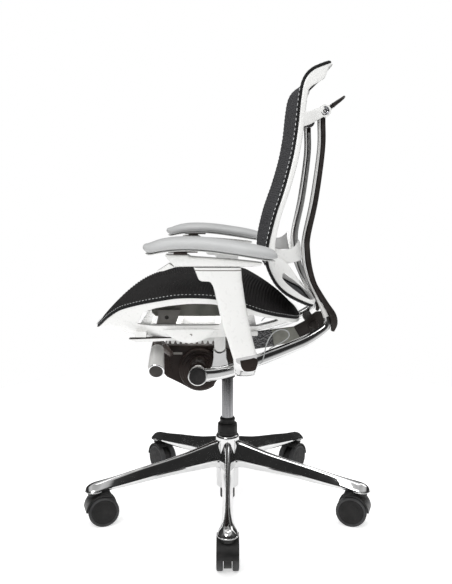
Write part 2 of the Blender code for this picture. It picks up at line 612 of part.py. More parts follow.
def make_carrier(materials):
    low = CARRIER_TOP - 0.0195
    rear = block((-0.1725, BOSS_Y - BOSS_RADIUS, low), (0.1725, BOSS_Y + BOSS_RADIUS, CARRIER_TOP))
    carrier = solid("seat_carrier", rear, materials["white_plastic"])
    for sign in (1, -1):
        teeth = [(RACK_FRONT, CARRIER_TOP), (RACK_FRONT, low - 0.010)]
        for index in range(RACK_COUNT):
            y = RACK_FRONT + 0.004 + index * RACK_TOOTH
            teeth += [(y, low - 0.010), (y + 0.002, low - 0.0035), (y + 0.0045, low - 0.0035),
                      (y + 0.0065, low - 0.010)]
        teeth += [(-0.022, low - 0.010), (-0.010, CARRIER_TOP - 0.004), (-0.010, CARRIER_TOP)]
        change(carrier, "UNION", mirrored(plate(teeth, 0.098, 0.122), sign))
        boss = arc((BOSS_Y, BOSS_Z), BOSS_RADIUS, -180, 0, 11)
        boss += [(BOSS_Y + BOSS_RADIUS, CARRIER_TOP - 0.003), (BOSS_Y - BOSS_RADIUS, CARRIER_TOP - 0.003)]
        change(carrier, "UNION", mirrored(plate(boss, 0.1510, 0.1720), sign))
    change(carrier, "UNION", block((-0.118, -0.129, low + 0.004), (0.118, -0.108, CARRIER_TOP - 0.001)))
    return carrier


def make_depth_lever(materials):
    outline = arc((DEPTH_LEVER_Y, 0.516), 0.0660, -146, -34, 15)
    solid("depth_lever", plate(outline, DEPTH_LEVER_X, DEPTH_LEVER_X + 0.0050), materials["white_plastic"],
          (DEPTH_LEVER_X, DEPTH_LEVER_Y, DEPTH_LEVER_Z))


# Back


def back_side(count):
    """Even seam points (half width, y, z) from the bottom to the top, and the share of the way at each."""
    return smooth_path(BACK_EDGE, count), np.linspace(0, 1, count)


def rearward(side):
    """The direction that points out of the rear of the back, at each seam point, in the plane x = 0."""
    run = np.gradient(side[:, 1:], axis=0)
    flat = np.column_stack([np.zeros(len(run)), run[:, 1], -run[:, 0]])
    return flat / np.linalg.norm(flat, axis=1)[:, None]


def make_back_mesh(materials):
    side, shares = back_side(BACK_STATIONS)
    rear = rearward(side)
    steps = np.array([-1.0, -0.9, -0.6, -0.3, 0.0, 0.3, 0.6, 0.9, 1.0])
    front_rows, rear_rows = [], []
    for (half, y, z), out, share in zip(side, rear, shares):
        hollow = BACK_HOLLOW * min(1.0, 6 * share, 6 * (1 - share)) ** 2
        rows = [np.array([half * step, y, z]) + out * hollow * (1 - step**2) ** 2 for step in steps]
        front_rows.append([point - out * BACK_MESH_FRONT for point in rows])
        rear_rows.append([point + out * BACK_MESH_REAR for point in rows])
    rings = [front + back[::-1] for front, back in zip(front_rows, rear_rows)]
    solid("back_mesh", loft(rings), materials["mesh_fabric"])


def scaled(pair, share):
    """The same pair of points at share times their distance from the middle plane."""
    return tuple(point * np.array([share, 1, 1]) for point in pair)


def back_loop(count):
    """Pairs of front and rear edge points all the way round the back frame."""
    side, shares = back_side(count)
    left = []
    for (half, y, z), out, share in zip(side, rearward(side), shares):
        front = np.array([half - 0.003, y, z]) + out * (BACK_MESH_REAR + 3 * GAP)
        left.append((front, front + out * value_at(BACK_DEPTH, share)))
    crossing = (0.5, 0.0, -0.5)
    top = [scaled(left[-1], share) for share in crossing]
    bottom = [scaled(left[0], -share) for share in crossing]
    return left + top + [scaled(pair, -1) for pair in left[::-1]] + bottom


def make_back_frame(materials):
    loop = band(back_loop(BACK_STATIONS), BACK_FRAME_THICKNESS)
    frame = solid("back_frame", loop, materials["white_plastic"])
    change(frame, "DIFFERENCE", plate(BACK_SLOT, -0.25, 0.25))
    for sign in (1, -1):
        waist = [(0.1950, 0.094, 0.622, 0.010, 0.040), (0.1820, 0.118, 0.622, 0.008, 0.030),
                 (0.1660, 0.140, 0.626, 0.007, 0.032), (0.1440, 0.1520, 0.632, 0.0065, 0.042),
                 (0.1300, 0.1525, 0.634, 0.0060, 0.044)]
        change(frame, "UNION", mirrored(loft(sweep(smooth_path(waist, 6), (0.8, 0.6, 0.0), 3, 8)), sign))
        wing = [(0.1665, 0.152, 0.902, 0.007, 0.030), (0.1630, 0.166, 0.905, 0.006, 0.026),
                (0.1570, 0.182, 0.912, 0.006, 0.022), (0.1540, 0.1990, 0.9195, 0.006, 0.020)]
        change(frame, "UNION", mirrored(loft(sweep(smooth_path(wing, 5), (0.8, 0.6, 0.0), 3, 8)), sign))
        eye = rod((0.1485, PIVOT_Y, PIVOT_Z), (0.1575, PIVOT_Y, PIVOT_Z), 0.0115, 18)
        change(frame, "UNION", mirrored(eye, sign))
    return frame


def make_supports(materials):
    for name, sign in SIDES:
        arm = mirrored(loft(sweep(smooth_path(SUPPORT_LINE, 24), (1, 0, 0), 3.0, 8)), sign)
        support = solid(f"back_support_{name}", arm, materials["polished_metal"], (0, ANKLE_Y, ANKLE_Z))
        eye = rod((ARM_EYE_INNER, ANKLE_Y, ANKLE_Z), (ARM_EYE_OUTER, ANKLE_Y, ANKLE_Z), 0.0205, 24)
        cup = arc((BOSS_Y, BOSS_Z), BOSS_RADIUS + 0.0012, -150, -30, 9)
        lug = [(-0.0415, 0.372), (-0.0330, 0.392), (-0.0300, 0.408), (-0.0300, 0.4225)] + cup
        lug += [(-0.0030, 0.4225), (-0.0025, 0.408), (0.0015, 0.394), (0.0160, 0.384)]
        lug = plate(lug, 0.1530, 0.1760)
        change(support, "UNION", *[mirrored(shape, sign) for shape in (eye, lug, loft(socket_rings(9, 10)))])
        cover = mirrored(loft(sweep(smooth_path(COVER_LINE, 18), (1, 0, 0), 3.0, 6)), sign)
        solid(f"upright_cover_{name}", cover, materials["black_plastic"])
        low, high = ARM_EYE_OUTER + GAP, ARM_EYE_OUTER + 0.0035
        cap = mirrored(rod((low, ANKLE_Y, ANKLE_Z), (high, ANKLE_Y, ANKLE_Z), 0.0170, 24), sign)
        solid(f"ankle_cap_{name}", cap, materials["black_plastic"])
        ring = turned([(0.0045, 0.0), (PIVOT_RADIUS, 0.0), (PIVOT_RADIUS, 0.0225), (0.0045, 0.0225)],
                      (0.1255 * sign, PIVOT_Y, PIVOT_Z), (sign, 0, 0), 20)
        solid(f"top_pivot_{name}", ring, materials["polished_metal"])
    beam = [(0.1810, 0.4370), (0.1900, 0.4395), (0.2020, 0.4475), (0.2065, 0.4540), (0.2050, 0.4590),
            (0.1990, 0.4580), (0.1860, 0.4495), (0.1790, 0.4430)]
    solid("back_crossbar", plate(beam, -0.1285, 0.1285), materials["polished_metal"])


def make_hanger(materials):
    line = HANGER_LINE + [(-x, *rest) for x, *rest in HANGER_LINE[-2::-1]]
    rings = sweep(smooth_path(line, 21), (0.0, -0.80, -0.60), 2.4, 8)
    solid("hanger", loft(rings), materials["black_plastic"])


# Arms


def stem_centre(z):
    return STEM_Y - (z - STEM_BOTTOM) * ARM_SLOPE


def tube_block(z_low, z_high, half_depth, half_width):
    """A sheared bar along the arm's line, square to the floor at both ends."""
    rings = []
    for z in (z_low, z_high):
        y = stem_centre(z)
        rings.append([(ARM_X + a * half_width, y + b * half_depth, z)
                      for a, b in ((-1, -1), (1, -1), (1, 1), (-1, 1))])
    return loft(rings)


def post_rings(count, sides):
    rings = []
    for z, front, rear in smooth_path(POST_OUTLINE, count):
        centre = np.array([ARM_X, (front + rear) / 2, z])
        rings.append(oval(centre, np.array([1.0, 0, 0]), np.array([0, 1.0, 0]), 0.031, rear - front, 5, sides))
    return rings


def socket_rings(count, sides):
    line = [(0.1700, 0.0330, 0.3910, 0.034, 0.018), (0.2000, 0.0340, 0.3925, 0.038, 0.021),
            (0.2400, 0.0350, 0.3960, 0.043, 0.023), (0.2640, 0.0350, 0.4030, 0.046, 0.026),
            (0.2800, 0.0345, 0.4160, 0.047, 0.028), (ARM_X, 0.0335, SOCKET_TOP - 0.003, 0.047, 0.028)]
    rings = sweep(smooth_path(line, count), (0, 1, 0), 3.2, sides)
    width, depth = line[-1][3:]
    rings[-1] = oval(np.array([ARM_X, line[-1][1], SOCKET_TOP]), np.array([0, 1.0, 0]), np.array([-1.0, 0, 0]),
                     width, depth, 3.2, sides)
    return rings


def pad_rings(count, sides, lift, thickness, half_width):
    """Rings along the arm pad, lift above its underside line, and narrower towards both ends."""
    rings = []
    for y, z in smooth_path(PAD_LINE, count):
        share = (y - PAD_LINE[0][0]) / (PAD_LINE[-1][0] - PAD_LINE[0][0])
        end = min(1.0, 1.02 - abs(2 * share - 1) ** 6)
        height = thickness * (0.42 + 0.58 * max(0.0, end) ** 0.5)
        width = 2 * half_width * (0.55 + 0.45 * max(0.0, end) ** 0.5)
        centre = np.array([ARM_X, y, z + lift + height / 2])
        rings.append(oval(centre, np.array([1.0, 0, 0]), np.array([0, 0, 1.0]), width, height, 3.2, sides))
    return rings


def make_arms(materials):
    white, dark = materials["white_plastic"], materials["dark_plastic"]
    for name, sign in SIDES:
        post = solid(f"arm_post_{name}", mirrored(loft(post_rings(11, 12)), sign), white)
        hollow = tube_block(STEM_BOTTOM - 0.008, POST_TOP + 0.01, STEM_HALF_DEPTH + CLEARANCE,
                            STEM_HALF_WIDTH + CLEARANCE)
        change(post, "DIFFERENCE", mirrored(hollow, sign))
        rings = []
        for y, low, high in CRADLE_LINE:
            centre = np.array([ARM_X, y, (low + high) / 2])
            rings.append(oval(centre, np.array([1.0, 0, 0]), np.array([0, 0, 1.0]), 0.038, high - low, 3.5, 12))
        cradle = solid(f"arm_cradle_{name}", mirrored(loft(rings), sign), white)
        stem = tube_block(STEM_BOTTOM, CRADLE_BOTTOM + 0.006, STEM_HALF_DEPTH, STEM_HALF_WIDTH)
        change(cradle, "UNION", mirrored(stem, sign))
        lever = mirrored(plate(ARM_LEVER_OUTLINE, ARM_X - 0.014, ARM_X + 0.014), sign)
        solid(f"arm_lever_{name}", lever, white, (sign * ARM_X, -0.1045, 0.6145))
        slider = mirrored(block((ARM_X - 0.014, -0.104, 0.6378), (ARM_X + 0.014, -0.078, 0.6402)), sign)
        solid(f"pad_slider_{name}", slider, dark, (sign * ARM_X, -0.091, 0.6378))
        rings = pad_rings(12, 10, -PAD_BASE_THICKNESS - GAP, PAD_BASE_THICKNESS, PAD_HALF_WIDTH - 0.006)
        base = solid(f"arm_pad_base_{name}", mirrored(loft(rings), sign), dark)
        rail = block((ARM_X - 0.010, -0.114, 0.6402 + GAP), (ARM_X + 0.010, -0.058, 0.6442))
        change(base, "UNION", mirrored(rail, sign))
        pad = pad_rings(12, 12, 0.0, PAD_THICKNESS, PAD_HALF_WIDTH)
        solid(f"arm_pad_{name}", mirrored(loft(pad), sign), materials["pad_grey"])
        cable(f"arm_cable_{name}", [(sign * x, y, z) for x, y, z in CABLE_ROUTE], materials["dark_plastic"])


def cable(name, route, material):
    """A thin cable: a round bevelled curve through a smooth route."""
    curve = bpy.data.curves.new(name, "CURVE")
    curve.dimensions = "3D"
    curve.bevel_depth = CABLE_RADIUS
    curve.bevel_resolution = 2
    curve.use_fill_caps = True
    spline = curve.splines.new("POLY")
    points = smooth_path(route, 22)
    spline.points.add(len(points) - 1)
    for place, point in zip(spline.points, points):
        place.co = (*point, 1.0)
    curve.materials.append(material)
    bpy.context.scene.collection.objects.link(bpy.data.objects.new(name, curve))


def main():
    for old in list(bpy.data.objects):
        bpy.data.objects.remove(old)
    materials = make_materials()
    make_base(materials)
    make_column(materials)
    make_casters(materials)
    make_mechanism(materials)
    make_handle(materials)
    make_seat_mesh(materials)
    make_seat_frame(materials)
    make_carrier(materials)
    make_depth_lever(materials)
    make_back_mesh(materials)
    make_back_frame(materials)
    make_supports(materials)
    make_hanger(materials)
    make_arms(materials)


main()
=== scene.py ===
"""Looks of a swivel office chair: mesh seat and back, white frames and polished metal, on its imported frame.

Metres, +Z up. The chair faces -Y and +X is the sitter's left side.
"""

from math import cos, pi, radians, sin

import bmesh
import bpy
import numpy as np
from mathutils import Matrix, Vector


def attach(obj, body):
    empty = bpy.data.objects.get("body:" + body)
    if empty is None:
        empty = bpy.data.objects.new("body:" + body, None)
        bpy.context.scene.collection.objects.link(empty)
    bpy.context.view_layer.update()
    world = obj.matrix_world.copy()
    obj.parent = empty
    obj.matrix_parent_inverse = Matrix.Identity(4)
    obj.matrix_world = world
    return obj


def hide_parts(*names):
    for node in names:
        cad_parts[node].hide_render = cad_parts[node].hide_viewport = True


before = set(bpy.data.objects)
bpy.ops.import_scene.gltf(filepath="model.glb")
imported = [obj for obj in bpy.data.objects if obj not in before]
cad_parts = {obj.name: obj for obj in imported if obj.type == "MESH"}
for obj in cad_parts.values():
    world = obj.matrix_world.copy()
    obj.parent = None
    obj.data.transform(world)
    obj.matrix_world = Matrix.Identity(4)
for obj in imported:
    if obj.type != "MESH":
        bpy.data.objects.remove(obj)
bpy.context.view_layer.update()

SIDES = (("left", 1), ("right", -1))
ACROSS = (1, 0, 0)
FORWARD = (0, 1, 0)
UP = (0, 0, 1)

# Base and casters
LEG_COUNT = 5
CASTER_RADIUS = 0.320
CASTER_TRAIL = 0.019
WHEEL_RADIUS = 0.0350
AXLE_HEIGHT = 0.03447
WHEEL_WIDTH = 0.0135
WHEEL_GAP = 0.019
# Leg, from the hub outwards (distance from the column, top, bottom, width)
LEG_LINE = [
    (0.0180, 0.1745, 0.1010, 0.0440), (0.0290, 0.1690, 0.1040, 0.0370), (0.0420, 0.1650, 0.1048, 0.0330),
    (0.0700, 0.1560, 0.1020, 0.0290), (0.1100, 0.1445, 0.0990, 0.0262), (0.1600, 0.1330, 0.0940, 0.0235),
    (0.2100, 0.1225, 0.0875, 0.0240), (0.2600, 0.1110, 0.0822, 0.0265), (0.2900, 0.1050, 0.0810, 0.0335),
    (0.3080, 0.1015, 0.0808, 0.0395), (0.3200, 0.0990, 0.0808, 0.0408), (0.3290, 0.0955, 0.0808, 0.0365),
    (0.3350, 0.0915, 0.0808, 0.0285), (0.3388, 0.0865, 0.0808, 0.0180), (0.3402, 0.0822, 0.0808, 0.0060),
]

# Mechanism
ANKLE = np.array([0.0, -0.063, 0.371])
DRUM_Z = 0.359
DRUM_RADIUS = 0.046
HANDLE_LINE = [
    (0.0680, -0.128, 0.3930, 0.0120, 0.0120), (0.0780, -0.129, 0.3945, 0.0130, 0.0130),
    (0.0880, -0.138, 0.4080, 0.0170, 0.0170), (0.0990, -0.149, 0.4205, 0.0220, 0.0220),
    (0.1120, -0.152, 0.4245, 0.0255, 0.0255), (0.1330, -0.152, 0.4172, 0.0278, 0.0278),
    (0.1650, -0.151, 0.4035, 0.0318, 0.0318), (0.2045, -0.149, 0.3865, 0.0352, 0.0352),
]
HANDLE_TILT = radians(23.0)

# Seat: height of the seam and of the crown from front to rear (y, z)
SEAT_EDGE = [
    (-0.2965, 0.4560), (-0.2810, 0.4682), (-0.2550, 0.4940), (-0.2280, 0.5145), (-0.2070, 0.5243),
    (-0.1760, 0.5340), (-0.1430, 0.5416), (-0.1030, 0.5486), (-0.0650, 0.5497), (-0.0300, 0.5476),
    (0.0000, 0.5410), (0.0400, 0.5275), (0.0630, 0.5180), (0.0960, 0.5065), (0.1260, 0.4966),
    (0.1625, 0.4800),
]
SEAT_CROWN = [
    (-0.2965, 0.4560), (-0.2820, 0.4740), (-0.2655, 0.4900), (-0.2314, 0.5200), (-0.1935, 0.5430),
    (-0.1366, 0.5590), (-0.0826, 0.5640), (-0.0300, 0.5650), (0.0330, 0.5620), (0.0640, 0.5510),
    (0.1075, 0.5280), (0.1360, 0.5080), (0.1520, 0.4925), (0.1625, 0.4800),
]
SEAT_HALF_WIDTH = 0.245
SEAT_FRONT = -0.2965
SEAT_REAR = 0.1625
SEAT_WIDEST_Y = -0.0665
SEAT_FRONT_POWER = 2.4
SEAT_REAR_POWER = 2.7
SHELL_HALF_WIDTH = 0.207
SHELL_FRONT = -0.238
SHELL_REAR = 0.144
SHELL_BOTTOM = [(-0.240, 0.4520), (-0.120, 0.4585), (0.000, 0.4600), (0.080, 0.4720), (0.150, 0.4530)]
CARRIER_TOP = 0.4560
SEAT_BOSS = (-0.0165, 0.4305)
BOSS_RADIUS = 0.0118
LUG_HOLE = (-0.133, 0.4830)
DEPTH_LEVER = np.array([0.2225, -0.078, 0.4785])
RIB_PITCH = 0.0058

# Back: left-hand side seam from the bottom centre to the top centre (half width, y, z)
BACK_EDGE = [
    (0.090, 0.1835, 0.5135), (0.132, 0.1820, 0.5145), (0.158, 0.1730, 0.5180), (0.172, 0.1482, 0.5300),
    (0.180, 0.1220, 0.5454), (0.186, 0.1023, 0.5645), (0.192, 0.0888, 0.5875), (0.198, 0.0804, 0.6113),
    (0.204, 0.0805, 0.6440), (0.208, 0.0929, 0.7010), (0.207, 0.1056, 0.7410), (0.197, 0.1165, 0.7742),
    (0.183, 0.1310, 0.8290), (0.171, 0.1403, 0.8827), (0.168, 0.1459, 0.9383), (0.166, 0.1510, 0.9712),
    (0.166, 0.1590, 0.9890), (0.165, 0.1725, 1.0018), (0.163, 0.1905, 1.0100), (0.154, 0.2060, 1.0158),
    (0.125, 0.2110, 1.0178), (0.085, 0.2115, 1.0182),
]
BACK_DEPTH = [
    (0.00, 0.010), (0.06, 0.010), (0.12, 0.022), (0.20, 0.040), (0.28, 0.036), (0.35, 0.013), (0.60, 0.012),
    (0.78, 0.013), (0.80, 0.0165), (0.83, 0.0250), (0.862, 0.0262), (0.885, 0.0150), (0.905, 0.0052),
    (1.00, 0.0040),
]
BACK_HOLLOW = 0.010
BACK_SLOT = [
    (0.113, 0.5870), (0.118, 0.5900), (0.130, 0.5800), (0.172, 0.5440), (0.182, 0.5330), (0.178, 0.5290),
    (0.160, 0.5370), (0.130, 0.5600), (0.114, 0.5770),
]
# Lower arm and upright of the metal back support (x, y, z, width along x, depth across)
SUPPORT_LINE = [
    (0.1835, -0.063, 0.371, 0.017, 0.030), (0.1800, -0.020, 0.3745, 0.017, 0.026),
    (0.1730, 0.025, 0.3860, 0.018, 0.025), (0.1620, 0.075, 0.4030, 0.018, 0.025),
    (0.1510, 0.125, 0.4200, 0.018, 0.024), (0.1430, 0.172, 0.4385, 0.018, 0.023),
    (0.1385, 0.2075, 0.4620, 0.018, 0.0185), (0.1370, 0.2140, 0.4780, 0.018, 0.0135),
    (0.1360, 0.2065, 0.5010, 0.018, 0.0105), (0.1350, 0.1970, 0.5190, 0.018, 0.0070),
    (0.1340, 0.1830, 0.5460, 0.018, 0.0056), (0.1335, 0.1718, 0.5710, 0.018, 0.0052),
    (0.1330, 0.1638, 0.5950, 0.018, 0.0052), (0.1325, 0.1598, 0.6280, 0.018, 0.0052),
    (0.1325, 0.1612, 0.6610, 0.018, 0.0050), (0.1330, 0.1765, 0.7400, 0.018, 0.0050),
    (0.1335, 0.1895, 0.8430, 0.018, 0.0050), (0.1340, 0.1890, 0.9060, 0.018, 0.0050),
]
COVER_LINE = [
    (0.1380, 0.2262, 0.4590, 0.018, 0.0075), (0.1370, 0.2290, 0.4740, 0.018, 0.0150),
    (0.1365, 0.2255, 0.4920, 0.018, 0.0160), (0.1355, 0.2130, 0.5130, 0.018, 0.0130),
    (0.1345, 0.1975, 0.5380, 0.018, 0.0115), (0.1335, 0.1845, 0.5620, 0.018, 0.0110),
    (0.1330, 0.1743, 0.5950, 0.018, 0.0125), (0.1325, 0.1698, 0.6280, 0.018, 0.0122),
    (0.1325, 0.1702, 0.6610, 0.018, 0.0115), (0.1330, 0.1860, 0.7400, 0.018, 0.0105),
    (0.1335, 0.1984, 0.8430, 0.018, 0.0098), (0.1340, 0.1978, 0.9060, 0.018, 0.0100),
]
# Middle spine of the back support, three shells one behind the other: outlines of (y, z)
SPINE = (
    ("front", [(0.0370, 0.4267), (0.1032, 0.4341), (0.1087, 0.3960), (0.0371, 0.3843)],
     "sparkle", "black_plastic"),
    ("middle", [(0.1032, 0.4341), (0.1550, 0.4412), (0.1696, 0.4166), (0.1359, 0.4023), (0.1087, 0.3965)],
     "olive", "dark_plastic"),
    ("rear", [(0.1550, 0.4412), (0.1820, 0.4557), (0.1973, 0.4701), (0.2075, 0.4772), (0.2308, 0.4780),
              (0.2338, 0.4557), (0.2082, 0.4351), (0.1696, 0.4166)], "cover", "black_plastic"),
)
# Dark plate under the top bar of the back frame, outline (y, z): painted shade in the slit beneath the bar
TOP_SLIT_SHADE = [
    (0.1656, 0.9598), (0.1667, 0.9679), (0.1730, 0.9753), (0.1819, 0.9818), (0.1951, 0.9888), (0.1934, 0.9846),
    (0.1833, 0.9758), (0.1732, 0.9659),
]
PIVOT = np.array([0.1255, 0.199, 0.9195])
HANGER_LINE = [
    (0.1330, 0.2125, 0.9285, 0.012, 0.0095), (0.1320, 0.2240, 0.9370, 0.012, 0.0085),
    (0.1220, 0.2370, 0.9465, 0.012, 0.0068), (0.0950, 0.2440, 0.9525, 0.012, 0.0054),
    (0.0500, 0.2470, 0.9550, 0.012, 0.0047), (0.0000, 0.2480, 0.9560, 0.012, 0.0042),
]

# Arms
ARM_X = 0.285
ARM_SLOPE = 0.2375
POST_TOP = 0.6120
SOCKET_TOP = 0.4375
FOOT_SLOPE = 0.20
CRADLE_BOTTOM = 0.6135
PAD_HALF_WIDTH = 0.0465
PAD_THICKNESS = 0.024
PAD_LINE = [
    (-0.1620, 0.6420), (-0.1500, 0.6385), (-0.1230, 0.6440), (-0.0910, 0.6470), (-0.0420, 0.6455),
    (0.0220, 0.6370), (0.0710, 0.6285), (0.0950, 0.6245),
]
POST_OUTLINE = [
    (0.4380, 0.0100, 0.0555), (0.4640, 0.0010, 0.0500), (0.4970, -0.0095, 0.0430), (0.5370, -0.0195, 0.0350),
    (0.5700, -0.0270, 0.0300), (0.5790, -0.0308, 0.0288), (0.5838, -0.0345, 0.0281), (0.5852, -0.0390, 0.0278),
    (0.5856, -0.0470, 0.0277), (0.5862, -0.0530, 0.0275), (0.5900, -0.0570, 0.0272), (0.5990, -0.0606, 0.0265),
    (POST_TOP, -0.0660, 0.0255),
]
CRADLE_LINE = [
    (-0.1190, 0.6345, 0.6372), (-0.1140, 0.6275, 0.6376), (-0.1070, 0.6190, 0.6377),
    (-0.1000, CRADLE_BOTTOM, 0.6377), (-0.0770, CRADLE_BOTTOM, 0.6372), (-0.0700, CRADLE_BOTTOM, 0.6335),
    (-0.0300, CRADLE_BOTTOM, 0.6305), (0.0200, CRADLE_BOTTOM, 0.6265), (0.0480, 0.6140, 0.6235),
    (0.0620, 0.6165, 0.6215), (0.0660, 0.6180, 0.6205),
]
# Route of the control cable behind the arm bracket (x, y, z)
CABLE_ROUTE = [
    (0.2760, 0.0640, 0.4190), (0.2730, 0.0690, 0.4240), (0.2670, 0.0730, 0.4380), (0.2590, 0.0770, 0.4530),
    (0.2500, 0.0840, 0.4660), (0.2400, 0.0930, 0.4745), (0.2300, 0.1040, 0.4780), (0.2210, 0.1150, 0.4765),
    (0.2120, 0.1235, 0.4710), (0.2030, 0.1270, 0.4620), (0.1940, 0.1235, 0.4520), (0.1860, 0.1130, 0.4430),
    (0.1790, 0.1010, 0.4350), (0.1735, 0.0920, 0.4285), (0.1700, 0.0880, 0.4240),
]
CABLE_DIAMETER = 0.0022

# Camera: at the chair's left side, above the arm pads, looking a little down
CAMERA_PLACE = (1.712, -0.0035, 0.764)
CAMERA_PITCH = radians(8.0)
CAMERA_LENS = 45.8

# Lights: name, place, aim, size, power. The last two stand for the light that passes through the open meshes
MIDDLE = (0.0, 0.0, 0.5)
LIGHTS = (
    ("key", (1.60, -0.70, 1.70), MIDDLE, 1.0, 15.0),
    ("top", (-0.10, 0.10, 2.60), MIDDLE, 1.6, 16.0),
    ("rear", (-1.20, 1.60, 1.60), MIDDLE, 1.0, 6.0),
    ("fill", (2.30, 0.30, 0.90), MIDDLE, 1.0, 3.0),
    ("through_seat", (0.0, -0.070, 0.520), (-0.03, -0.070, 0.0), 0.20, 0.5),
    ("through_back", (-0.050, 0.130, 0.665), (-0.160, 0.150, 0.630), 0.06, 0.07),
)
AMBIENT = 0.60
# What mirrors see, from straight down (0) to straight up (1)
MIRROR_ROOM = (
    (0.0, 0.90), (0.41, 0.85), (0.44, 0.40), (0.465, 0.035), (0.62, 0.030), (0.78, 0.06), (0.84, 0.6),
    (0.92, 0.8), (1.0, 0.4),
)
FLOOR_RADIUS = 1.15
FLOOR_CENTRE_X = -0.30


# Shape tools


def smooth_path(points, count, steps=24):
    """Evenly spaced points on a smooth curve through the given ones. Extra columns follow along."""
    knots = np.array(points, float)
    ends = np.vstack([2 * knots[0] - knots[1], knots, 2 * knots[-1] - knots[-2]])
    fine = []
    for a, b, c, d in zip(ends, ends[1:], ends[2:], ends[3:]):
        for t in np.arange(steps) / steps:
            bend = (2 * a - 5 * b + 4 * c - d) * t**2 + (3 * b - a - 3 * c + d) * t**3
            fine.append(b + 0.5 * ((c - a) * t + bend))
    fine = np.array(fine + [knots[-1]])
    width = min(3, fine.shape[1])
    lengths = np.cumsum(np.r_[0, np.linalg.norm(np.diff(fine[:, :width], axis=0), axis=1)])
    places = np.linspace(0, lengths[-1], count)
    return np.column_stack([np.interp(places, lengths, column) for column in fine.T])


def smooth_table(table, count=200):
    """A two-column table made finer on a smooth curve, in rising order of its first column."""
    fine = smooth_path(table, count)
    return fine[np.argsort(fine[:, 0])]


def value_at(table, place):
    table = np.asarray(table)
    return np.interp(place, table[:, 0], table[:, 1])


def unit(vector):
    vector = np.asarray(vector, float)
    return vector / np.linalg.norm(vector)


def oval(centre, across, up, width, height, power, sides):
    """A ring of points on a rounded rectangle: power 2 is an ellipse, and more is squarer."""
    ring = []
    for angle in np.arange(sides) * 2 * pi / sides + pi / sides:
        c, s = cos(angle), sin(angle)
        a = np.sign(c) * abs(c) ** (2 / power) * width / 2
        b = np.sign(s) * abs(s) ** (2 / power) * height / 2
        ring.append(centre + a * across + b * up)
    return ring


def sweep(stations, side, power=2.6, sides=20):
    """Rings along stations (x, y, z, width along side, height across it)."""
    stations = np.asarray(stations, float)
    centres = stations[:, :3]
    tangents = np.gradient(centres, axis=0)
    rings = []
    for centre, tangent, (width, height) in zip(centres, tangents, stations[:, 3:5]):
        along = unit(tangent)
        across = unit(np.asarray(side, float) - np.dot(side, along) * along)
        rings.append(oval(centre, across, np.cross(along, across), width, height, power, sides))
    return rings


def loft(rings, closed=False):
    """Joins rings of equal length into (points, faces): a body with two caps, or an endless one."""
    size = len(rings[0])
    points = [tuple(point) for ring in rings for point in ring]
    faces = []
    for row in range(len(rings) if closed else len(rings) - 1):
        low, high = row * size, (row + 1) % len(rings) * size
        for i in range(size):
            j = (i + 1) % size
            faces.append((low + i, low + j, high + j, high + i))
    if not closed:
        faces.append(tuple(range(size)))
        faces.append(tuple(range(len(points) - size, len(points))))
    return points, faces


def rounded_ends(rings, depth, steps=3):
    """Adds shrinking rings at both ends, so that a lofted bar ends in a rounded rim."""
    made = list(rings)
    for end, inner in ((0, 1), (-1, -2)):
        centre = np.mean(made[end], axis=0)
        out = unit(centre - np.mean(made[inner], axis=0))
        extra = []
        for step in range(1, steps + 1):
            turn = step / steps * pi / 2
            shrink = 1 - depth * (1 - cos(turn)) / np.linalg.norm(np.asarray(rings[end][0]) - centre)
            extra.append([centre + (point - centre) * shrink + out * depth * sin(turn) for point in rings[end]])
        made = extra[::-1] + made if end == 0 else made + extra
    return made


def turned(profile, centre, axis, segments=64, capped=False):
    """Turns an outline of (radius, height) about an axis."""
    axis = unit(axis)
    side = unit(np.cross(axis, (0.31, 0.52, 0.79)))
    other = np.cross(axis, side)
    rings = []
    for radius, height in profile:
        middle = np.asarray(centre, float) + height * axis
        rings.append(oval(middle, side, other, 2 * radius, 2 * radius, 2, segments))
    return loft(rings, closed=not capped)


def softened(profile, radius=0.0006, closed=True):
    """Cuts each corner of an outline twice, close to the corner, so that it turns in a small round."""
    points = [np.array(point, float) for point in profile]
    count = len(points)
    made = []
    for i, point in enumerate(points):
        if not closed and i in (0, count - 1):
            made.append(tuple(point))
            continue
        before, after = points[i - 1] - point, points[(i + 1) % count] - point
        a, b = min(radius, np.linalg.norm(before) / 2.5), min(radius, np.linalg.norm(after) / 2.5)
        first, last = point + unit(before) * a, point + unit(after) * b
        made += [tuple(first), tuple((first + last) / 4 + point / 2), tuple(last)]
    return made


def rod(start, end, radius, segments=48, rim=0.0006):
    """A solid round bar with softened rims."""
    start, end = np.asarray(start, float), np.asarray(end, float)
    length = np.linalg.norm(end - start)
    profile = [(radius * 0.01, 0), (radius - rim, 0), (radius, rim), (radius, length - rim),
               (radius - rim, length), (radius * 0.01, length)]
    return turned(profile, start, end - start, segments, capped=True)


def plate(outline, low, high):
    """An outline of (y, z) points, thick from x = low to x = high."""
    return loft([[(x, y, z) for y, z in outline] for x in (low, high)])


def block(low, high):
    outline = [(low[1], low[2]), (high[1], low[2]), (high[1], high[2]), (low[1], high[2])]
    return plate(outline, low[0], high[0])


def arc(centre, radius, start, end, count):
    """Points (y, z) on an arc, in degrees from +Y towards +Z."""
    angles = np.radians(np.linspace(start, end, count))
    return [(centre[0] + radius * cos(a), centre[1] + radius * sin(a)) for a in angles]


def smooth_outline(outline, count):
    """A closed outline of (y, z) made round."""
    closed = list(outline) + [outline[0]]
    return [tuple(point) for point in smooth_path(closed, count + 1)[:-1]]


def mirrored(shape, sign):
    points, faces = shape
    return [(sign * x, y, z) for x, y, z in points], faces


def joined(*shapes):
    """Several bodies as one mesh."""
    points, faces = [], []
    for more, more_faces in shapes:
        start = len(points)
        points += list(more)
        faces += [tuple(start + i for i in face) for face in more_faces]
    return points, faces


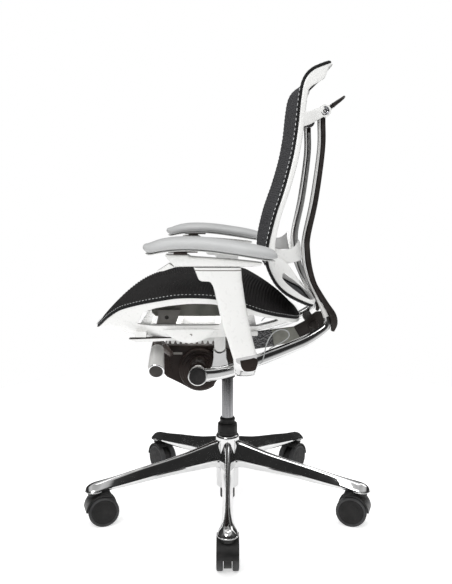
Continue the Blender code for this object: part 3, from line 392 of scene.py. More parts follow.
def ring_tube(route, radius, sides=8):
    """A round tube along an endless route."""
    route = np.asarray(route, float)
    tangents = np.roll(route, -1, axis=0) - np.roll(route, 1, axis=0)
    rings = []
    for point, tangent in zip(route, tangents):
        along = unit(tangent)
        across = unit(np.cross(along, (0.12, 0.33, 0.93)))
        rings.append(oval(point, across, np.cross(along, across), 2 * radius, 2 * radius, 2, sides))
    return loft(rings, closed=True)


# Pieces


def mesh_of(name, shape):
    """A mesh of a shape's points and faces, with its faces turned outwards."""
    points, faces = shape
    mesh = bpy.data.meshes.new(name)
    mesh.from_pydata([tuple(point) for point in points], [], faces)
    work = bmesh.new()
    work.from_mesh(mesh)
    bmesh.ops.recalc_face_normals(work, faces=work.faces)
    work.to_mesh(mesh)
    work.free()
    return mesh


def piece(name, shape, look, body, replaces=(), slot=None, bevel=0.0, sharp=35):
    """Makes one visible piece that rides on a CAD body. Its slot argument is not used."""
    mesh = mesh_of(name, shape)
    mesh.shade_smooth()
    mesh.set_sharp_from_angle(angle=radians(sharp))
    mesh.materials.append(LOOKS[look].material)
    made = bpy.data.objects.new(name, mesh)
    bpy.context.scene.collection.objects.link(made)
    if bevel:
        add_bevel(made, bevel)
    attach(made, body)
    if replaces:
        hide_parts(*replaces)
    return made


def pair(name, shape, look, body, replaces=(), **more):
    """Makes a left piece and its mirror image. {} in a body or a node stands for the side."""
    return [piece(f"{name}_{side}", mirrored(shape, sign), look, body.format(side),
                  [node.format(side) for node in replaces], **more) for side, sign in SIDES]


def add_bevel(made, width, segments=3):
    bevel = made.modifiers.new("Bevel", "BEVEL")
    bevel.width = width
    bevel.segments = segments
    bevel.limit_method = "ANGLE"
    bevel.angle_limit = radians(35)
    bevel.harden_normals = True


def cut(made, *shapes):
    """Cuts shapes out of a piece and applies the cuts."""
    for shape in shapes:
        cutter = bpy.data.objects.new("cutter", mesh_of("cutter", shape))
        bpy.context.scene.collection.objects.link(cutter)
        boolean = made.modifiers.new("Cut", "BOOLEAN")
        boolean.operation = "DIFFERENCE"
        boolean.solver = "EXACT"
        boolean.object = cutter
        with bpy.context.temp_override(object=made, active_object=made, selected_objects=[made]):
            bpy.ops.object.modifier_move_to_index(modifier=boolean.name, index=0)
            bpy.ops.object.modifier_apply(modifier=boolean.name)
        bpy.data.objects.remove(cutter)
    made.data.set_sharp_from_angle(angle=radians(35))


def cut_pair(pieces, shape):
    """Cuts a shape out of a left piece and its mirror image out of the right one."""
    for made, (_, sign) in zip(pieces, SIDES):
        cut(made, mirrored(shape, sign))


# Materials


class Look:
    """A Principled material with a short way to add procedural detail to it."""

    def __init__(self, name, colour, roughness, metallic=0.0):
        self.material = bpy.data.materials.new(name)
        self.material.use_nodes = True
        self.tree = self.material.node_tree
        self.shader = self.tree.nodes["Principled BSDF"]
        self.shader.inputs["Metallic"].default_value = metallic
        self.set("Base Color", (*colour, 1.0))
        self.set("Roughness", roughness)
        self.place = self.tree.nodes.new("ShaderNodeTexCoord").outputs["Object"]

    def set(self, name, value):
        self.shader.inputs[name].default_value = value
        return self

    def stretch(self, scale):
        """Object coordinates scaled by three numbers."""
        mapping = self.tree.nodes.new("ShaderNodeMapping")
        mapping.inputs["Scale"].default_value = scale
        self.tree.links.new(self.place, mapping.inputs["Vector"])
        return mapping.outputs["Vector"]

    def noise(self, scale, detail=3.0, vector=None):
        node = self.tree.nodes.new("ShaderNodeTexNoise")
        node.inputs["Scale"].default_value = scale
        node.inputs["Detail"].default_value = detail
        self.tree.links.new(vector or self.place, node.inputs["Vector"])
        return node.outputs["Fac"]

    def cells(self, scale):
        node = self.tree.nodes.new("ShaderNodeTexVoronoi")
        node.inputs["Scale"].default_value = scale
        self.tree.links.new(self.place, node.inputs["Vector"])
        return node.outputs["Distance"]

    def bands(self, scale, axis, distortion=0.0):
        node = self.tree.nodes.new("ShaderNodeTexWave")
        node.bands_direction = axis
        node.inputs["Scale"].default_value = scale
        node.inputs["Distortion"].default_value = distortion
        node.inputs["Detail"].default_value = 1.0
        self.tree.links.new(self.place, node.inputs["Vector"])
        return node.outputs["Fac"]

    def spread(self, source, low, high, start=0.3, end=0.7):
        """A number from low to high as source goes from start to end."""
        node = self.tree.nodes.new("ShaderNodeMapRange")
        node.inputs["From Min"].default_value = start
        node.inputs["From Max"].default_value = end
        node.inputs["To Min"].default_value = low
        node.inputs["To Max"].default_value = high
        self.tree.links.new(source, node.inputs["Value"])
        return node.outputs["Result"]

    def ramp(self, source, first, last, start=0.3, end=0.7):
        """A colour from first to last as source goes from start to end."""
        node = self.tree.nodes.new("ShaderNodeValToRGB")
        node.color_ramp.elements[0].position = start
        node.color_ramp.elements[0].color = (*first, 1.0)
        node.color_ramp.elements[1].position = end
        node.color_ramp.elements[1].color = (*last, 1.0)
        self.tree.links.new(source, node.inputs["Fac"])
        return node.outputs["Color"]

    def colour(self, source, first, last, start=0.3, end=0.7):
        self.tree.links.new(self.ramp(source, first, last, start, end), self.shader.inputs["Base Color"])

    def rough(self, source, low, high):
        self.tree.links.new(self.spread(source, low, high), self.shader.inputs["Roughness"])

    def bump(self, source, strength, distance):
        node = self.tree.nodes.new("ShaderNodeBump")
        node.inputs["Strength"].default_value = strength
        node.inputs["Distance"].default_value = distance
        last = self.shader.inputs["Normal"]
        if last.links:
            self.tree.links.new(last.links[0].from_socket, node.inputs["Normal"])
        self.tree.links.new(source, node.inputs["Height"])
        self.tree.links.new(node.outputs["Normal"], last)
        return self

    def tint(self, scale, detail, dark, light):
        """Mottles the colour from dark to light."""
        self.colour(self.noise(scale, detail), dark, light)
        return self

    def gloss(self, scale, detail, low, high):
        """Smears the roughness from low to high."""
        self.rough(self.noise(scale, detail), low, high)
        return self

    def grain(self, scale, detail, strength, depth):
        return self.bump(self.noise(scale, detail), strength, depth)

    def pebbles(self, scale, strength, depth):
        return self.bump(self.cells(scale), strength, depth)


def steel_look():
    """Ground steel: fine lines along the column and a duller film of oil."""
    look = Look("ground_steel", (0.26, 0.26, 0.27), 0.22, 1.0)
    lines = look.noise(40.0, 4.0, look.stretch((9.0, 9.0, 0.2)))
    look.colour(lines, (0.16, 0.16, 0.165), (0.36, 0.36, 0.37))
    look.rough(lines, 0.14, 0.30)
    return look.bump(look.noise(400.0, 2.0, look.stretch((1.0, 1.0, 12.0))), 0.10, 0.0001)


def fluted_look():
    """White moulding with fine vertical flutes for the fingers."""
    look = Look("fluted_white", (0.86, 0.86, 0.845), 0.32)
    look.tint(12.0, 3.0, (0.83, 0.83, 0.815), (0.89, 0.89, 0.875)).gloss(120.0, 4.0, 0.24, 0.40)
    return look.bump(look.bands(80.0, "Y"), 0.35, 0.0005)


def grained_look(name, dark, light, roughness, pebble=1100.0, depth=0.35, shine=0.20):
    """Moulded plastic with a spark-eroded grain."""
    look = Look(name, light, roughness).set("Specular IOR Level", shine).tint(45.0, 5.0, dark, light)
    look.gloss(160.0, 4.0, roughness - 0.10, roughness + 0.12)
    return look.pebbles(pebble, depth, 0.00025).grain(30.0, 3.0, 0.12, 0.0004)


def mesh_look(name, axis, lit_crest, shaded_trough):
    """Knitted suspension mesh: twisted yarn across the ribs. Its colour follows the yarn's relief: a painted
    highlight on the raised yarn and painted shade in its hollows.
    """
    look = Look(name, lit_crest, 0.72).set("Specular IOR Level", 0.12)
    yarn = look.bands(330.0, axis, 0.6)
    # painted highlight on the raised yarn and painted shade in its hollows, over the yarn's own near-black
    look.colour(yarn, shaded_trough, lit_crest, 0.15, 0.85)
    return look.gloss(300.0, 4.0, 0.55, 0.85).bump(yarn, 0.55, 0.0006).grain(1600.0, 3.0, 0.35, 0.0003)


# Each look: colour, roughness and metallic value, then its mottling, its smears and its relief
LOOKS = {
    # Cast aluminium, polished, with a faint waviness
    "polished": Look("polished_aluminium", (0.66, 0.66, 0.66), 0.06, 1.0)
    .tint(22.0, 3.0, (0.60, 0.60, 0.60), (0.70, 0.70, 0.70)).gloss(60.0, 5.0, 0.035, 0.13)
    .grain(14.0, 2.0, 0.10, 0.0010).grain(900.0, 2.0, 0.03, 0.0001),
    "chrome": Look("bright_chrome", (0.82, 0.82, 0.84), 0.04, 1.0)
    .tint(30.0, 3.0, (0.78, 0.78, 0.80), (0.88, 0.88, 0.90)).gloss(80.0, 5.0, 0.02, 0.09)
    .grain(26.0, 2.0, 0.06, 0.0006),
    # Satin silver plating with a fine blasted grain
    "satin": Look("satin_silver", (0.60, 0.60, 0.59), 0.34, 1.0)
    .tint(30.0, 4.0, (0.54, 0.54, 0.53), (0.66, 0.66, 0.65)).gloss(120.0, 4.0, 0.26, 0.42)
    .grain(900.0, 3.0, 0.15, 0.0002),
    # Silver paint with a fine flake
    "silver": Look("silver_paint", (0.66, 0.655, 0.64), 0.36, 0.10)
    .tint(700.0, 2.0, (0.61, 0.605, 0.59), (0.72, 0.715, 0.70)).gloss(60.0, 4.0, 0.28, 0.44)
    .grain(500.0, 2.0, 0.06, 0.0001),
    "neck": grained_look("neck_moulding", (0.055, 0.042, 0.038), (0.10, 0.082, 0.075), 0.22, shine=0.6),
    "steel": steel_look(),
    # White moulding: nearly smooth, with a faint flow pattern
    "white": Look("white_moulding", (0.88, 0.88, 0.865), 0.30)
    .tint(7.0, 3.0, (0.855, 0.855, 0.84), (0.90, 0.90, 0.885)).gloss(120.0, 4.0, 0.24, 0.38)
    .grain(90.0, 2.0, 0.03, 0.0002).set("Coat Weight", 0.25).set("Coat Roughness", 0.12),
    "fluted": fluted_look(),
    "black": grained_look("black_moulding", (0.008, 0.008, 0.008), (0.020, 0.019, 0.019), 0.42),
    "cover": grained_look("cover_moulding", (0.016, 0.013, 0.012), (0.034, 0.029, 0.027), 0.34),
    "dark": grained_look("dark_moulding", (0.030, 0.027, 0.025), (0.065, 0.060, 0.056), 0.48),
    # Dark brown: painted shade under the arm pad, on the slider and the block beneath the pad
    "brown": grained_look("brown_under_pad_shade", (0.060, 0.045, 0.040), (0.105, 0.085, 0.078), 0.45),
    # Mid grey: the housing strip and the depth lever's mark, and painted shade on the seat lugs and the post's
    # top seam
    "grey_and_shade": grained_look("grey_moulding_and_painted_shade", (0.20, 0.19, 0.175), (0.27, 0.26, 0.245), 0.45, shine=0.4),
    "olive": grained_look("seat_chassis", (0.17, 0.17, 0.148), (0.25, 0.25, 0.22), 0.50, shine=0.4),
    # Painted cast housing, nearly black with a brown tint
    "housing": Look("housing_paint", (0.016, 0.011, 0.010), 0.34)
    .tint(18.0, 4.0, (0.010, 0.007, 0.006), (0.030, 0.021, 0.018)).gloss(90.0, 5.0, 0.24, 0.46)
    .grain(700.0, 3.0, 0.22, 0.0003).set("Specular IOR Level", 0.18),
    # Knit meshes: the first colour is the raised yarn with a painted highlight, the second its hollows in
    # painted shade
    "seat_mesh": mesh_look("seat_mesh_knit", "X", (0.036, 0.034, 0.034), (0.003, 0.003, 0.003)),
    "back_mesh": mesh_look("back_mesh_knit", "X", (0.110, 0.110, 0.116), (0.030, 0.030, 0.032)),
    # Tightly wound black edge tape
    "hem": Look("edge_tape", (0.012, 0.012, 0.012), 0.6)
    .tint(500.0, 3.0, (0.006, 0.006, 0.006), (0.022, 0.022, 0.023)).gloss(200.0, 3.0, 0.45, 0.75)
    .pebbles(1300.0, 0.5, 0.0004).set("Specular IOR Level", 0.15),
    # Black hammered finish, whose small facets catch the light
    "sparkle": Look("hammered_black", (0.010, 0.010, 0.013), 0.10)
    .tint(200.0, 2.0, (0.004, 0.004, 0.005), (0.018, 0.018, 0.023)).pebbles(210.0, 1.0, 0.0022)
    .set("Specular IOR Level", 0.9).set("Coat Weight", 0.6),
    "thread": Look("stitch_thread", (0.70, 0.71, 0.71), 0.7)
    .tint(900.0, 2.0, (0.58, 0.59, 0.59), (0.80, 0.81, 0.81)).gloss(500.0, 2.0, 0.6, 0.85)
    .grain(2500.0, 2.0, 0.5, 0.0002),
    # Soft grey skin of an arm pad, slightly polished where arms rest
    "pad": Look("pad_skin", (0.50, 0.505, 0.505), 0.5)
    .tint(9.0, 4.0, (0.46, 0.465, 0.465), (0.54, 0.545, 0.545)).gloss(14.0, 3.0, 0.38, 0.60)
    .pebbles(1500.0, 0.35, 0.0003).grain(180.0, 4.0, 0.15, 0.0003),
    "hood": grained_look("hood_moulding", (0.010, 0.010, 0.010), (0.026, 0.025, 0.025), 0.38),
    "disc": grained_look("wheel_disc", (0.008, 0.008, 0.008), (0.018, 0.017, 0.017), 0.50, 900.0, 0.25),
    "tread": grained_look("wheel_tread", (0.030, 0.030, 0.031), (0.060, 0.060, 0.061), 0.55, 700.0, 0.45),
    "cable": grained_look("cable_sheath", (0.30, 0.31, 0.31), (0.42, 0.43, 0.43), 0.45),
    "floor": Look("pale_floor", (0.90, 0.90, 0.90), 0.7).tint(1.5, 2.0, (0.89, 0.89, 0.89), (0.92, 0.92, 0.92))
    .set("Emission Color", (1.0, 1.0, 1.0, 1.0)).set("Emission Strength", 0.50).set("Specular IOR Level", 0.0),
}


# Base, casters and column


LEG_SECTION = smooth_path([  # half section of a leg as (share of half width, share of height)
    (0.00, 0.000), (0.44, 0.000), (0.70, 0.025), (0.87, 0.090), (0.96, 0.180), (1.00, 0.260), (0.95, 0.350),
    (0.82, 0.490), (0.68, 0.640), (0.54, 0.780), (0.43, 0.890), (0.30, 0.950), (0.15, 0.985), (0.00, 1.000),
], 23)


def leg_ring(distance, top, bottom, width, angle):
    """A leg section, widest below its middle, so that its upper flanks lean in."""
    out = np.array([cos(angle), sin(angle), 0.0])
    across = np.array([-sin(angle), cos(angle), 0.0])
    right = [(share * width / 2, bottom + height * (top - bottom)) for share, height in LEG_SECTION]
    left = [(-side, height) for side, height in right[-2:0:-1]]
    return [out * distance + across * side + np.array([0, 0, height]) for side, height in right + left]


def make_base():
    hub = softened([(0.0182, 0.0550), (0.0268, 0.0550), (0.0272, 0.1000), (0.0279, 0.1600), (0.0279, 0.1780),
                    (0.0255, 0.1818), (0.0182, 0.1818)], 0.0016)
    piece("star_hub", turned(hub, (0, 0, 0), UP, 96), "polished", "base", ["base_star"])
    lip = [(0.0002, 0.0804), (0.0200, 0.0804), (0.0209, 0.0808), (0.0210, 0.0816), (0.0206, 0.0824),
           (0.0196, 0.0830), (0.0170, 0.0834), (0.0002, 0.0836)]
    for index in range(LEG_COUNT):
        angle = index * 2 * pi / LEG_COUNT
        place = (CASTER_RADIUS * cos(angle), CASTER_RADIUS * sin(angle), 0)
        rings = [leg_ring(*row, angle) for row in smooth_path(LEG_LINE, 64)]
        piece(f"star_leg_{index + 1}", loft(rings), "polished", "base")
        piece(f"star_tip_{index + 1}", turned(lip, place, (0, 0, 1), 48, capped=True), "polished", "base")


def make_column():
    axis = ((0, 0, 0), (0, 0, 1))
    tube_outline = softened([(0.0056, 0.0260), (0.0175, 0.0260), (0.0175, 0.2140), (0.0146, 0.2140),
                             (0.0146, 0.0300), (0.0056, 0.0300)])
    piece("column_tube", turned(tube_outline, *axis), "black", "base", ["gas_tube"])
    collar = [(0.0178, 0.1823), (0.0236, 0.1823), (0.0236, 0.1900), (0.0231, 0.1905), (0.0231, 0.1915),
              (0.0236, 0.1920), (0.0233, 0.2040), (0.0226, 0.2085), (0.0205, 0.2100), (0.0178, 0.2103),
              (0.0174, 0.2170), (0.0182, 0.2180), (0.0182, 0.2205), (0.0168, 0.2225), (0.0160, 0.2240),
              (0.0146, 0.2240), (0.0146, 0.2145), (0.0178, 0.2145)]
    piece("collar", turned(softened(collar, 0.0008), *axis), "black", "base",
          ["column_collar"])
    cylinder = softened([(0.0110, 0.3300), (0.0110, 0.1250), (0.0140, 0.1250), (0.0140, 0.3495),
                         (0.0002, 0.3495)], closed=False)
    piece("lift_cylinder", turned([(0.0002, 0.33)] + cylinder, *axis, capped=True), "steel", "mechanism",
          ["gas_cylinder"])


def wheel_shapes(centre, along, sign):
    """The tread ring and the disc of one wheel."""
    near, far = WHEEL_GAP / 2, WHEEL_GAP / 2 + WHEEL_WIDTH
    r = WHEEL_RADIUS
    tread = [(0.0285, near), (0.0325, near), (0.0343, near + 0.0010), (r, near + 0.0030), (r, far - 0.0036),
             (0.0346, far - 0.0018), (0.0332, far - 0.0004), (0.0316, far), (0.0305, far - 0.0002),
             (0.0299, far - 0.0010), (0.0285, far - 0.0012)]
    disc = [(0.0002, near + 0.0006), (0.0283, near + 0.0006), (0.0283, far - 0.0016), (0.0276, far - 0.0010),
            (0.0200, far - 0.0006), (0.0196, far - 0.0009), (0.0192, far - 0.0006), (0.0002, far - 0.0003)]
    turn = [[(radius, sign * height) for radius, height in profile] for profile in (tread, disc)]
    return turned(turn[0], centre, along, 72), turned(turn[1], centre, along, 64, capped=True)


def make_casters():
    for index in range(LEG_COUNT):
        number, angle = index + 1, index * 2 * pi / LEG_COUNT
        out = np.array([cos(angle), sin(angle), 0.0])
        along = np.array([-sin(angle), cos(angle), 0.0])
        place = CASTER_RADIUS * out
        centre = (CASTER_RADIUS - CASTER_TRAIL) * out + np.array([0, 0, AXLE_HEIGHT])
        lift = np.array(UP)

        def spread_out(outline, half):
            """An outline of (outward, up) across the caster, from -half to half along the axle."""
            rings = [[place + y * out + z * lift + side * along for y, z in outline] for side in (-half, half)]
            return loft(rings)

        axle = (-CASTER_TRAIL, AXLE_HEIGHT)
        rib = arc(axle, 0.0300, -200, 58, 30) + [(0.008, 0.0700), (0.006, 0.0740), (-0.006, 0.0740)]
        shell = arc(axle, 0.0403, 4, 120, 30) + arc(axle, 0.0370, 120, 4, 30)
        half = WHEEL_GAP / 2 + WHEEL_WIDTH - 0.0006
        stem = [(0.0002, 0.0690), (0.0130, 0.0690), (0.0140, 0.0705), (0.0140, 0.0788), (0.0130, 0.0800),
                (0.0002, 0.0800)]
        hood = joined(spread_out(rib, WHEEL_GAP / 2 - 0.0014), spread_out(shell, half),
                      turned(stem, place, UP, 40, capped=True))
        piece(f"caster_body_{number}", hood, "hood", f"caster_{number}",
              [f"caster_hood_{number}"], bevel=0.0009)
        pin = joined(rod(centre - along * (half - 0.004), centre + along * (half - 0.004), 0.0039, 24),
                     rod(place + lift * 0.0780, place + lift * 0.0935, 0.0054, 24))
        piece(f"caster_pins_{number}", pin, "steel", f"caster_{number}")
        for name, sign in SIDES:
            tread, disc = wheel_shapes(centre, along, sign)
            body = f"wheel_{number}_{name}"
            piece(f"tread_{number}_{name}", tread, "tread", body, [body])
            piece(f"disc_{number}_{name}", disc, "disc", body)


# Mechanism and tension handle


def make_mechanism():
    outline = [(-0.150, 0.395), (-0.147, 0.370), (-0.144, 0.345), (-0.138, 0.338), (-0.106, 0.322)]
    outline += arc((-0.063, 0.355), 0.050, -125, -50, 16)
    outline += [(-0.020, 0.3480), (0.018, 0.3500), (0.036, 0.362), (0.036, 0.378), (0.020, 0.398),
                (-0.020, 0.411), (-0.132, 0.411), (-0.146, 0.405)]
    piece("housing", plate(outline, -0.0678, 0.0678), "housing", "mechanism", ["mech_housing"], bevel=0.0030)
    boss = softened([(0.0142, 0.3215), (0.0180, 0.3215), (0.0180, 0.3520), (0.0142, 0.3520)])
    piece("column_boss", turned(boss, (0, 0, 0), UP), "black", "mechanism")
    drum = [(0.0086, 0.0300), (0.0455, 0.0300), (DRUM_RADIUS, 0.0310), (DRUM_RADIUS, 0.0860), (0.0448, 0.0880),
            (0.0440, 0.0884), (0.0405, 0.0884), (0.0400, 0.0890), (0.0400, 0.0908), (0.0392, 0.0916),
            (0.0345, 0.0916), (0.0340, 0.0922), (0.0340, 0.0938), (0.0330, 0.0948), (0.0086, 0.0948)]
    pair("drum", turned(drum, (0, ANKLE[1], DRUM_Z), ACROSS, 96), "housing", "mechanism")
    sleeve = softened([(0.0086, 0.0930), (0.0215, 0.0930), (0.0215, 0.1500), (0.0208, 0.1512), (0.0208, 0.1540),
                       (0.0200, 0.1550), (0.0086, 0.1550)])
    pair("shaft_sleeve", turned(sleeve, ANKLE, ACROSS), "housing", "mechanism")
    pair("housing_strip", block((0.0670, -0.1330, 0.3905), (0.0700, -0.1020, 0.3955)), "grey_and_shade", "mechanism",
         slot="black_plastic", bevel=0.0006)
    fins = [block((0.0670, y, 0.3500), (0.0690, y + 0.0022, 0.3800)) for y in (-0.1400, -0.1340, -0.1280)]
    pair("housing_fins", joined(*fins), "housing", "mechanism", bevel=0.0005)


def make_handle():
    axis = np.array([cos(HANDLE_TILT), 0, -sin(HANDLE_TILT)])
    rings = sweep(smooth_path(HANDLE_LINE, 60), (0, 1, 0), 2, 40)
    piece("tension_neck", loft(rings[:33]), "neck", "tension_handle", ["tension_handle"])
    piece("tension_grip", loft(rounded_ends(rings[32:], 0.0014)), "silver", "tension_handle", slot="chrome")
    end = np.array(HANDLE_LINE[-1][:3]) + axis * 0.0004
    rim = softened([(0.0143, 0.0), (0.0168, 0.0), (0.0172, 0.0010), (0.0160, 0.0022), (0.0146, 0.0022)], 0.0003)
    piece("tension_rim", turned(rim, end, axis, 48), "chrome", "tension_handle")
    cap = turned([(0.0002, 0.0), (0.0138, 0.0), (0.0141, 0.0008), (0.0136, 0.0022), (0.0120, 0.0026),
                  (0.0002, 0.0028)], end, axis, 48, capped=True)
    piece("tension_cap", cap, "dark", "tension_handle", ["tension_handle_cap"])


# Seat


EDGE = smooth_table(SEAT_EDGE)
CROWN = smooth_table(SEAT_CROWN)


def plan_point(angle, half_width, front, rear):
    """A point (x, y) of the seat's rounded outline in plan."""
    c, s = cos(angle), sin(angle)
    power = SEAT_FRONT_POWER if s < 0 else SEAT_REAR_POWER
    reach = SEAT_WIDEST_Y - front if s < 0 else rear - SEAT_WIDEST_Y
    x = np.sign(c) * abs(c) ** (2 / power) * half_width
    return x, SEAT_WIDEST_Y + np.sign(s) * abs(s) ** (2 / power) * reach


def even_angles(count):
    """Angles that space the points of plan_point evenly along the outline."""
    fine = np.linspace(0, 2 * pi, 1441)
    points = np.array([plan_point(a, SEAT_HALF_WIDTH, SEAT_FRONT, SEAT_REAR) for a in fine])
    lengths = np.cumsum(np.r_[0, np.linalg.norm(np.diff(points, axis=0), axis=1)])
    return np.interp(np.arange(count) * lengths[-1] / count, lengths, fine)


def seat_share(x, y):
    """How far out a point lies, from 0 in the middle to 1 at the seam."""
    power = np.where(y < SEAT_WIDEST_Y, SEAT_FRONT_POWER, SEAT_REAR_POWER)
    reach = np.where(y < SEAT_WIDEST_Y, SEAT_WIDEST_Y - SEAT_FRONT, SEAT_REAR - SEAT_WIDEST_Y)
    across = np.abs(x / SEAT_HALF_WIDTH) ** power
    return np.minimum(1.0, across + np.abs((y - SEAT_WIDEST_Y) / reach) ** power) ** (1 / power)


def seat_height(x, y):
    edge, crown, share = value_at(EDGE, y), value_at(CROWN, y), seat_share(x, y)
    return edge + (crown - edge) * (1 - share**6) + 0.0050 - 0.0040 * share**10


def seat_loop(inset, rise, count):
    """A loop round the seat at a share of its outline."""
    loop = []
    for angle in even_angles(count):
        x, y = plan_point(angle, SEAT_HALF_WIDTH * inset, SEAT_WIDEST_Y + (SEAT_FRONT - SEAT_WIDEST_Y) * inset,
                          SEAT_WIDEST_Y + (SEAT_REAR - SEAT_WIDEST_Y) * inset)
        loop.append((x, y, float(seat_height(x, y)) + rise))
    return np.array(loop)


def grid_faces(rows, columns):
    return [(r * columns + c, r * columns + c + 1, (r + 1) * columns + c + 1, (r + 1) * columns + c)
            for r in range(rows - 1) for c in range(columns - 1)]


def ribbed(surface, rib_phase, height):
    """Lifts a grid of points (rows, columns, 3) along its normals in ribs."""
    along = np.gradient(surface, axis=0)
    across = np.gradient(surface, axis=1)
    normals = np.cross(across, along)
    normals /= np.maximum(np.linalg.norm(normals, axis=2), 1e-12)[..., None]
    wave = (0.5 + 0.5 * np.cos(2 * pi * rib_phase)) ** 0.7
    return surface + normals * (wave * height)[..., None]


def stitches(loop, length, pitch, radius):
    """Short raised stitches along an endless loop."""
    loop = np.vstack([loop, loop[:1]])
    lengths = np.cumsum(np.r_[0, np.linalg.norm(np.diff(loop, axis=0), axis=1)])
    shapes = []
    for start in np.arange(0, lengths[-1] - length, pitch):
        places = start + length * np.array([0.0, 0.12, 0.5, 0.88, 1.0])
        points = np.column_stack([np.interp(places, lengths, column) for column in loop.T])
        widths = np.array([0.5, 1.6, 2.0, 1.6, 0.5]) * radius
        stations = [(*point, width, width) for point, width in zip(points, widths)]
        shapes.append(loft(sweep(stations, (0.1, 0.2, 0.97), 2, 6)))
    return joined(*shapes)


def make_seat_mesh():
    rows, columns = 620, 97
    ys = np.linspace(SEAT_FRONT + 0.0004, SEAT_REAR - 0.0004, rows)
    power = np.where(ys < SEAT_WIDEST_Y, SEAT_FRONT_POWER, SEAT_REAR_POWER)
    reach = np.where(ys < SEAT_WIDEST_Y, SEAT_WIDEST_Y - SEAT_FRONT, SEAT_REAR - SEAT_WIDEST_Y)
    half = SEAT_HALF_WIDTH * (1 - np.abs((ys - SEAT_WIDEST_Y) / reach) ** power) ** (1 / power)
    x = half[:, None] * np.sin(np.linspace(-pi / 2, pi / 2, columns))[None, :]
    y = np.repeat(ys[:, None], columns, axis=1)
    surface = np.stack([x, y, seat_height(x, y)], axis=2)
    slant = np.abs(x) * 0.10
    fade = np.clip((1 - seat_share(x, y)) * 14, 0, 1)
    surface = ribbed(surface, (y + slant) / RIB_PITCH, 0.0021 * fade)
    fabric = piece("seat_fabric", (surface.reshape(-1, 3), grid_faces(rows, columns)), "seat_mesh", "seat",
                   ["seat_mesh"], sharp=180)
    backing = fabric.modifiers.new("Backing", "SOLIDIFY")
    backing.thickness = 0.0016
    backing.offset = -1
    tape = list(zip(seat_loop(0.997, 0.0006, 260), seat_loop(1.0, -0.0058, 260)))
    piping = piece("seat_piping", band(tape, 0.0030, 3, 0.0010), "hem", "seat")
    thread = piece("seat_stitches", stitches(seat_loop(1.0085, 0.0022, 500), 0.0040, 0.0076, 0.00048),
                   "thread", "seat")


def shell_pair(angle):
    """The upper and lower edge of the seat shell at one place round the outline."""
    x, y = plan_point(angle, SEAT_HALF_WIDTH - 0.002, SEAT_FRONT + 0.002, SEAT_REAR - 0.002)
    upper = np.array([x, y, float(value_at(EDGE, y)) - 0.0030])
    x, y = plan_point(angle, SHELL_HALF_WIDTH, SHELL_FRONT, SHELL_REAR)
    lower = np.array([x, y, float(value_at(smooth_table(SHELL_BOTTOM), y))])
    rim = upper + np.array([0, 0, -0.010])
    share = min(1.0, max(0.0, (upper[1] - 0.085) / 0.05))
    share = share * share * (3 - 2 * share)
    return upper, lower * (1 - share) + rim * share


def band(pairs, thickness, rows=7, bulge=0.0):
    """An endless plate with round edges whose two edges run round a pair of loops. bulge bows it outwards."""
    middles = np.array([(a + b) / 2 for a, b in pairs])
    tangents = np.roll(middles, -1, axis=0) - np.roll(middles, 1, axis=0)
    rings = []
    for (a, b), tangent in zip(pairs, tangents):
        down = b - a
        out = unit(np.cross(tangent, down)) * thickness / 2
        inset = min(0.35, thickness * 0.4 / np.linalg.norm(down))
        shares = np.linspace(inset, 1 - inset, rows)
        bow = [out / np.linalg.norm(out) * bulge * sin(pi * share) for share in shares]
        outer = [a + down * share + out + more for share, more in zip(shares, bow)]
        inner = [a + down * share - out + more for share, more in zip(shares, bow)]
        first = [a + down * inset * 0.3 - out * 0.72, a, a + down * inset * 0.3 + out * 0.72]
        last = [b - down * inset * 0.3 + out * 0.72, b, b - down * inset * 0.3 - out * 0.72]
        rings.append(first + outer + last + inner[::-1])
    return loft(rings, closed=True)


SEAT_WINDOWS = (
    [(-0.187, 0.484), (-0.1815, 0.495), (-0.172, 0.512), (-0.150, 0.5215), (-0.132, 0.5258), (-0.115, 0.5290),
     (-0.079, 0.5330), (-0.050, 0.5332), (-0.022, 0.5310), (-0.0135, 0.5220), (-0.0150, 0.490),
     (-0.022, 0.4860), (-0.063, 0.4850), (-0.110, 0.4845), (-0.150, 0.4825)],
    [(0.028, 0.484), (0.028, 0.508), (0.036, 0.511), (0.070, 0.502), (0.104, 0.492), (0.096, 0.486),
     (0.060, 0.480)],
)


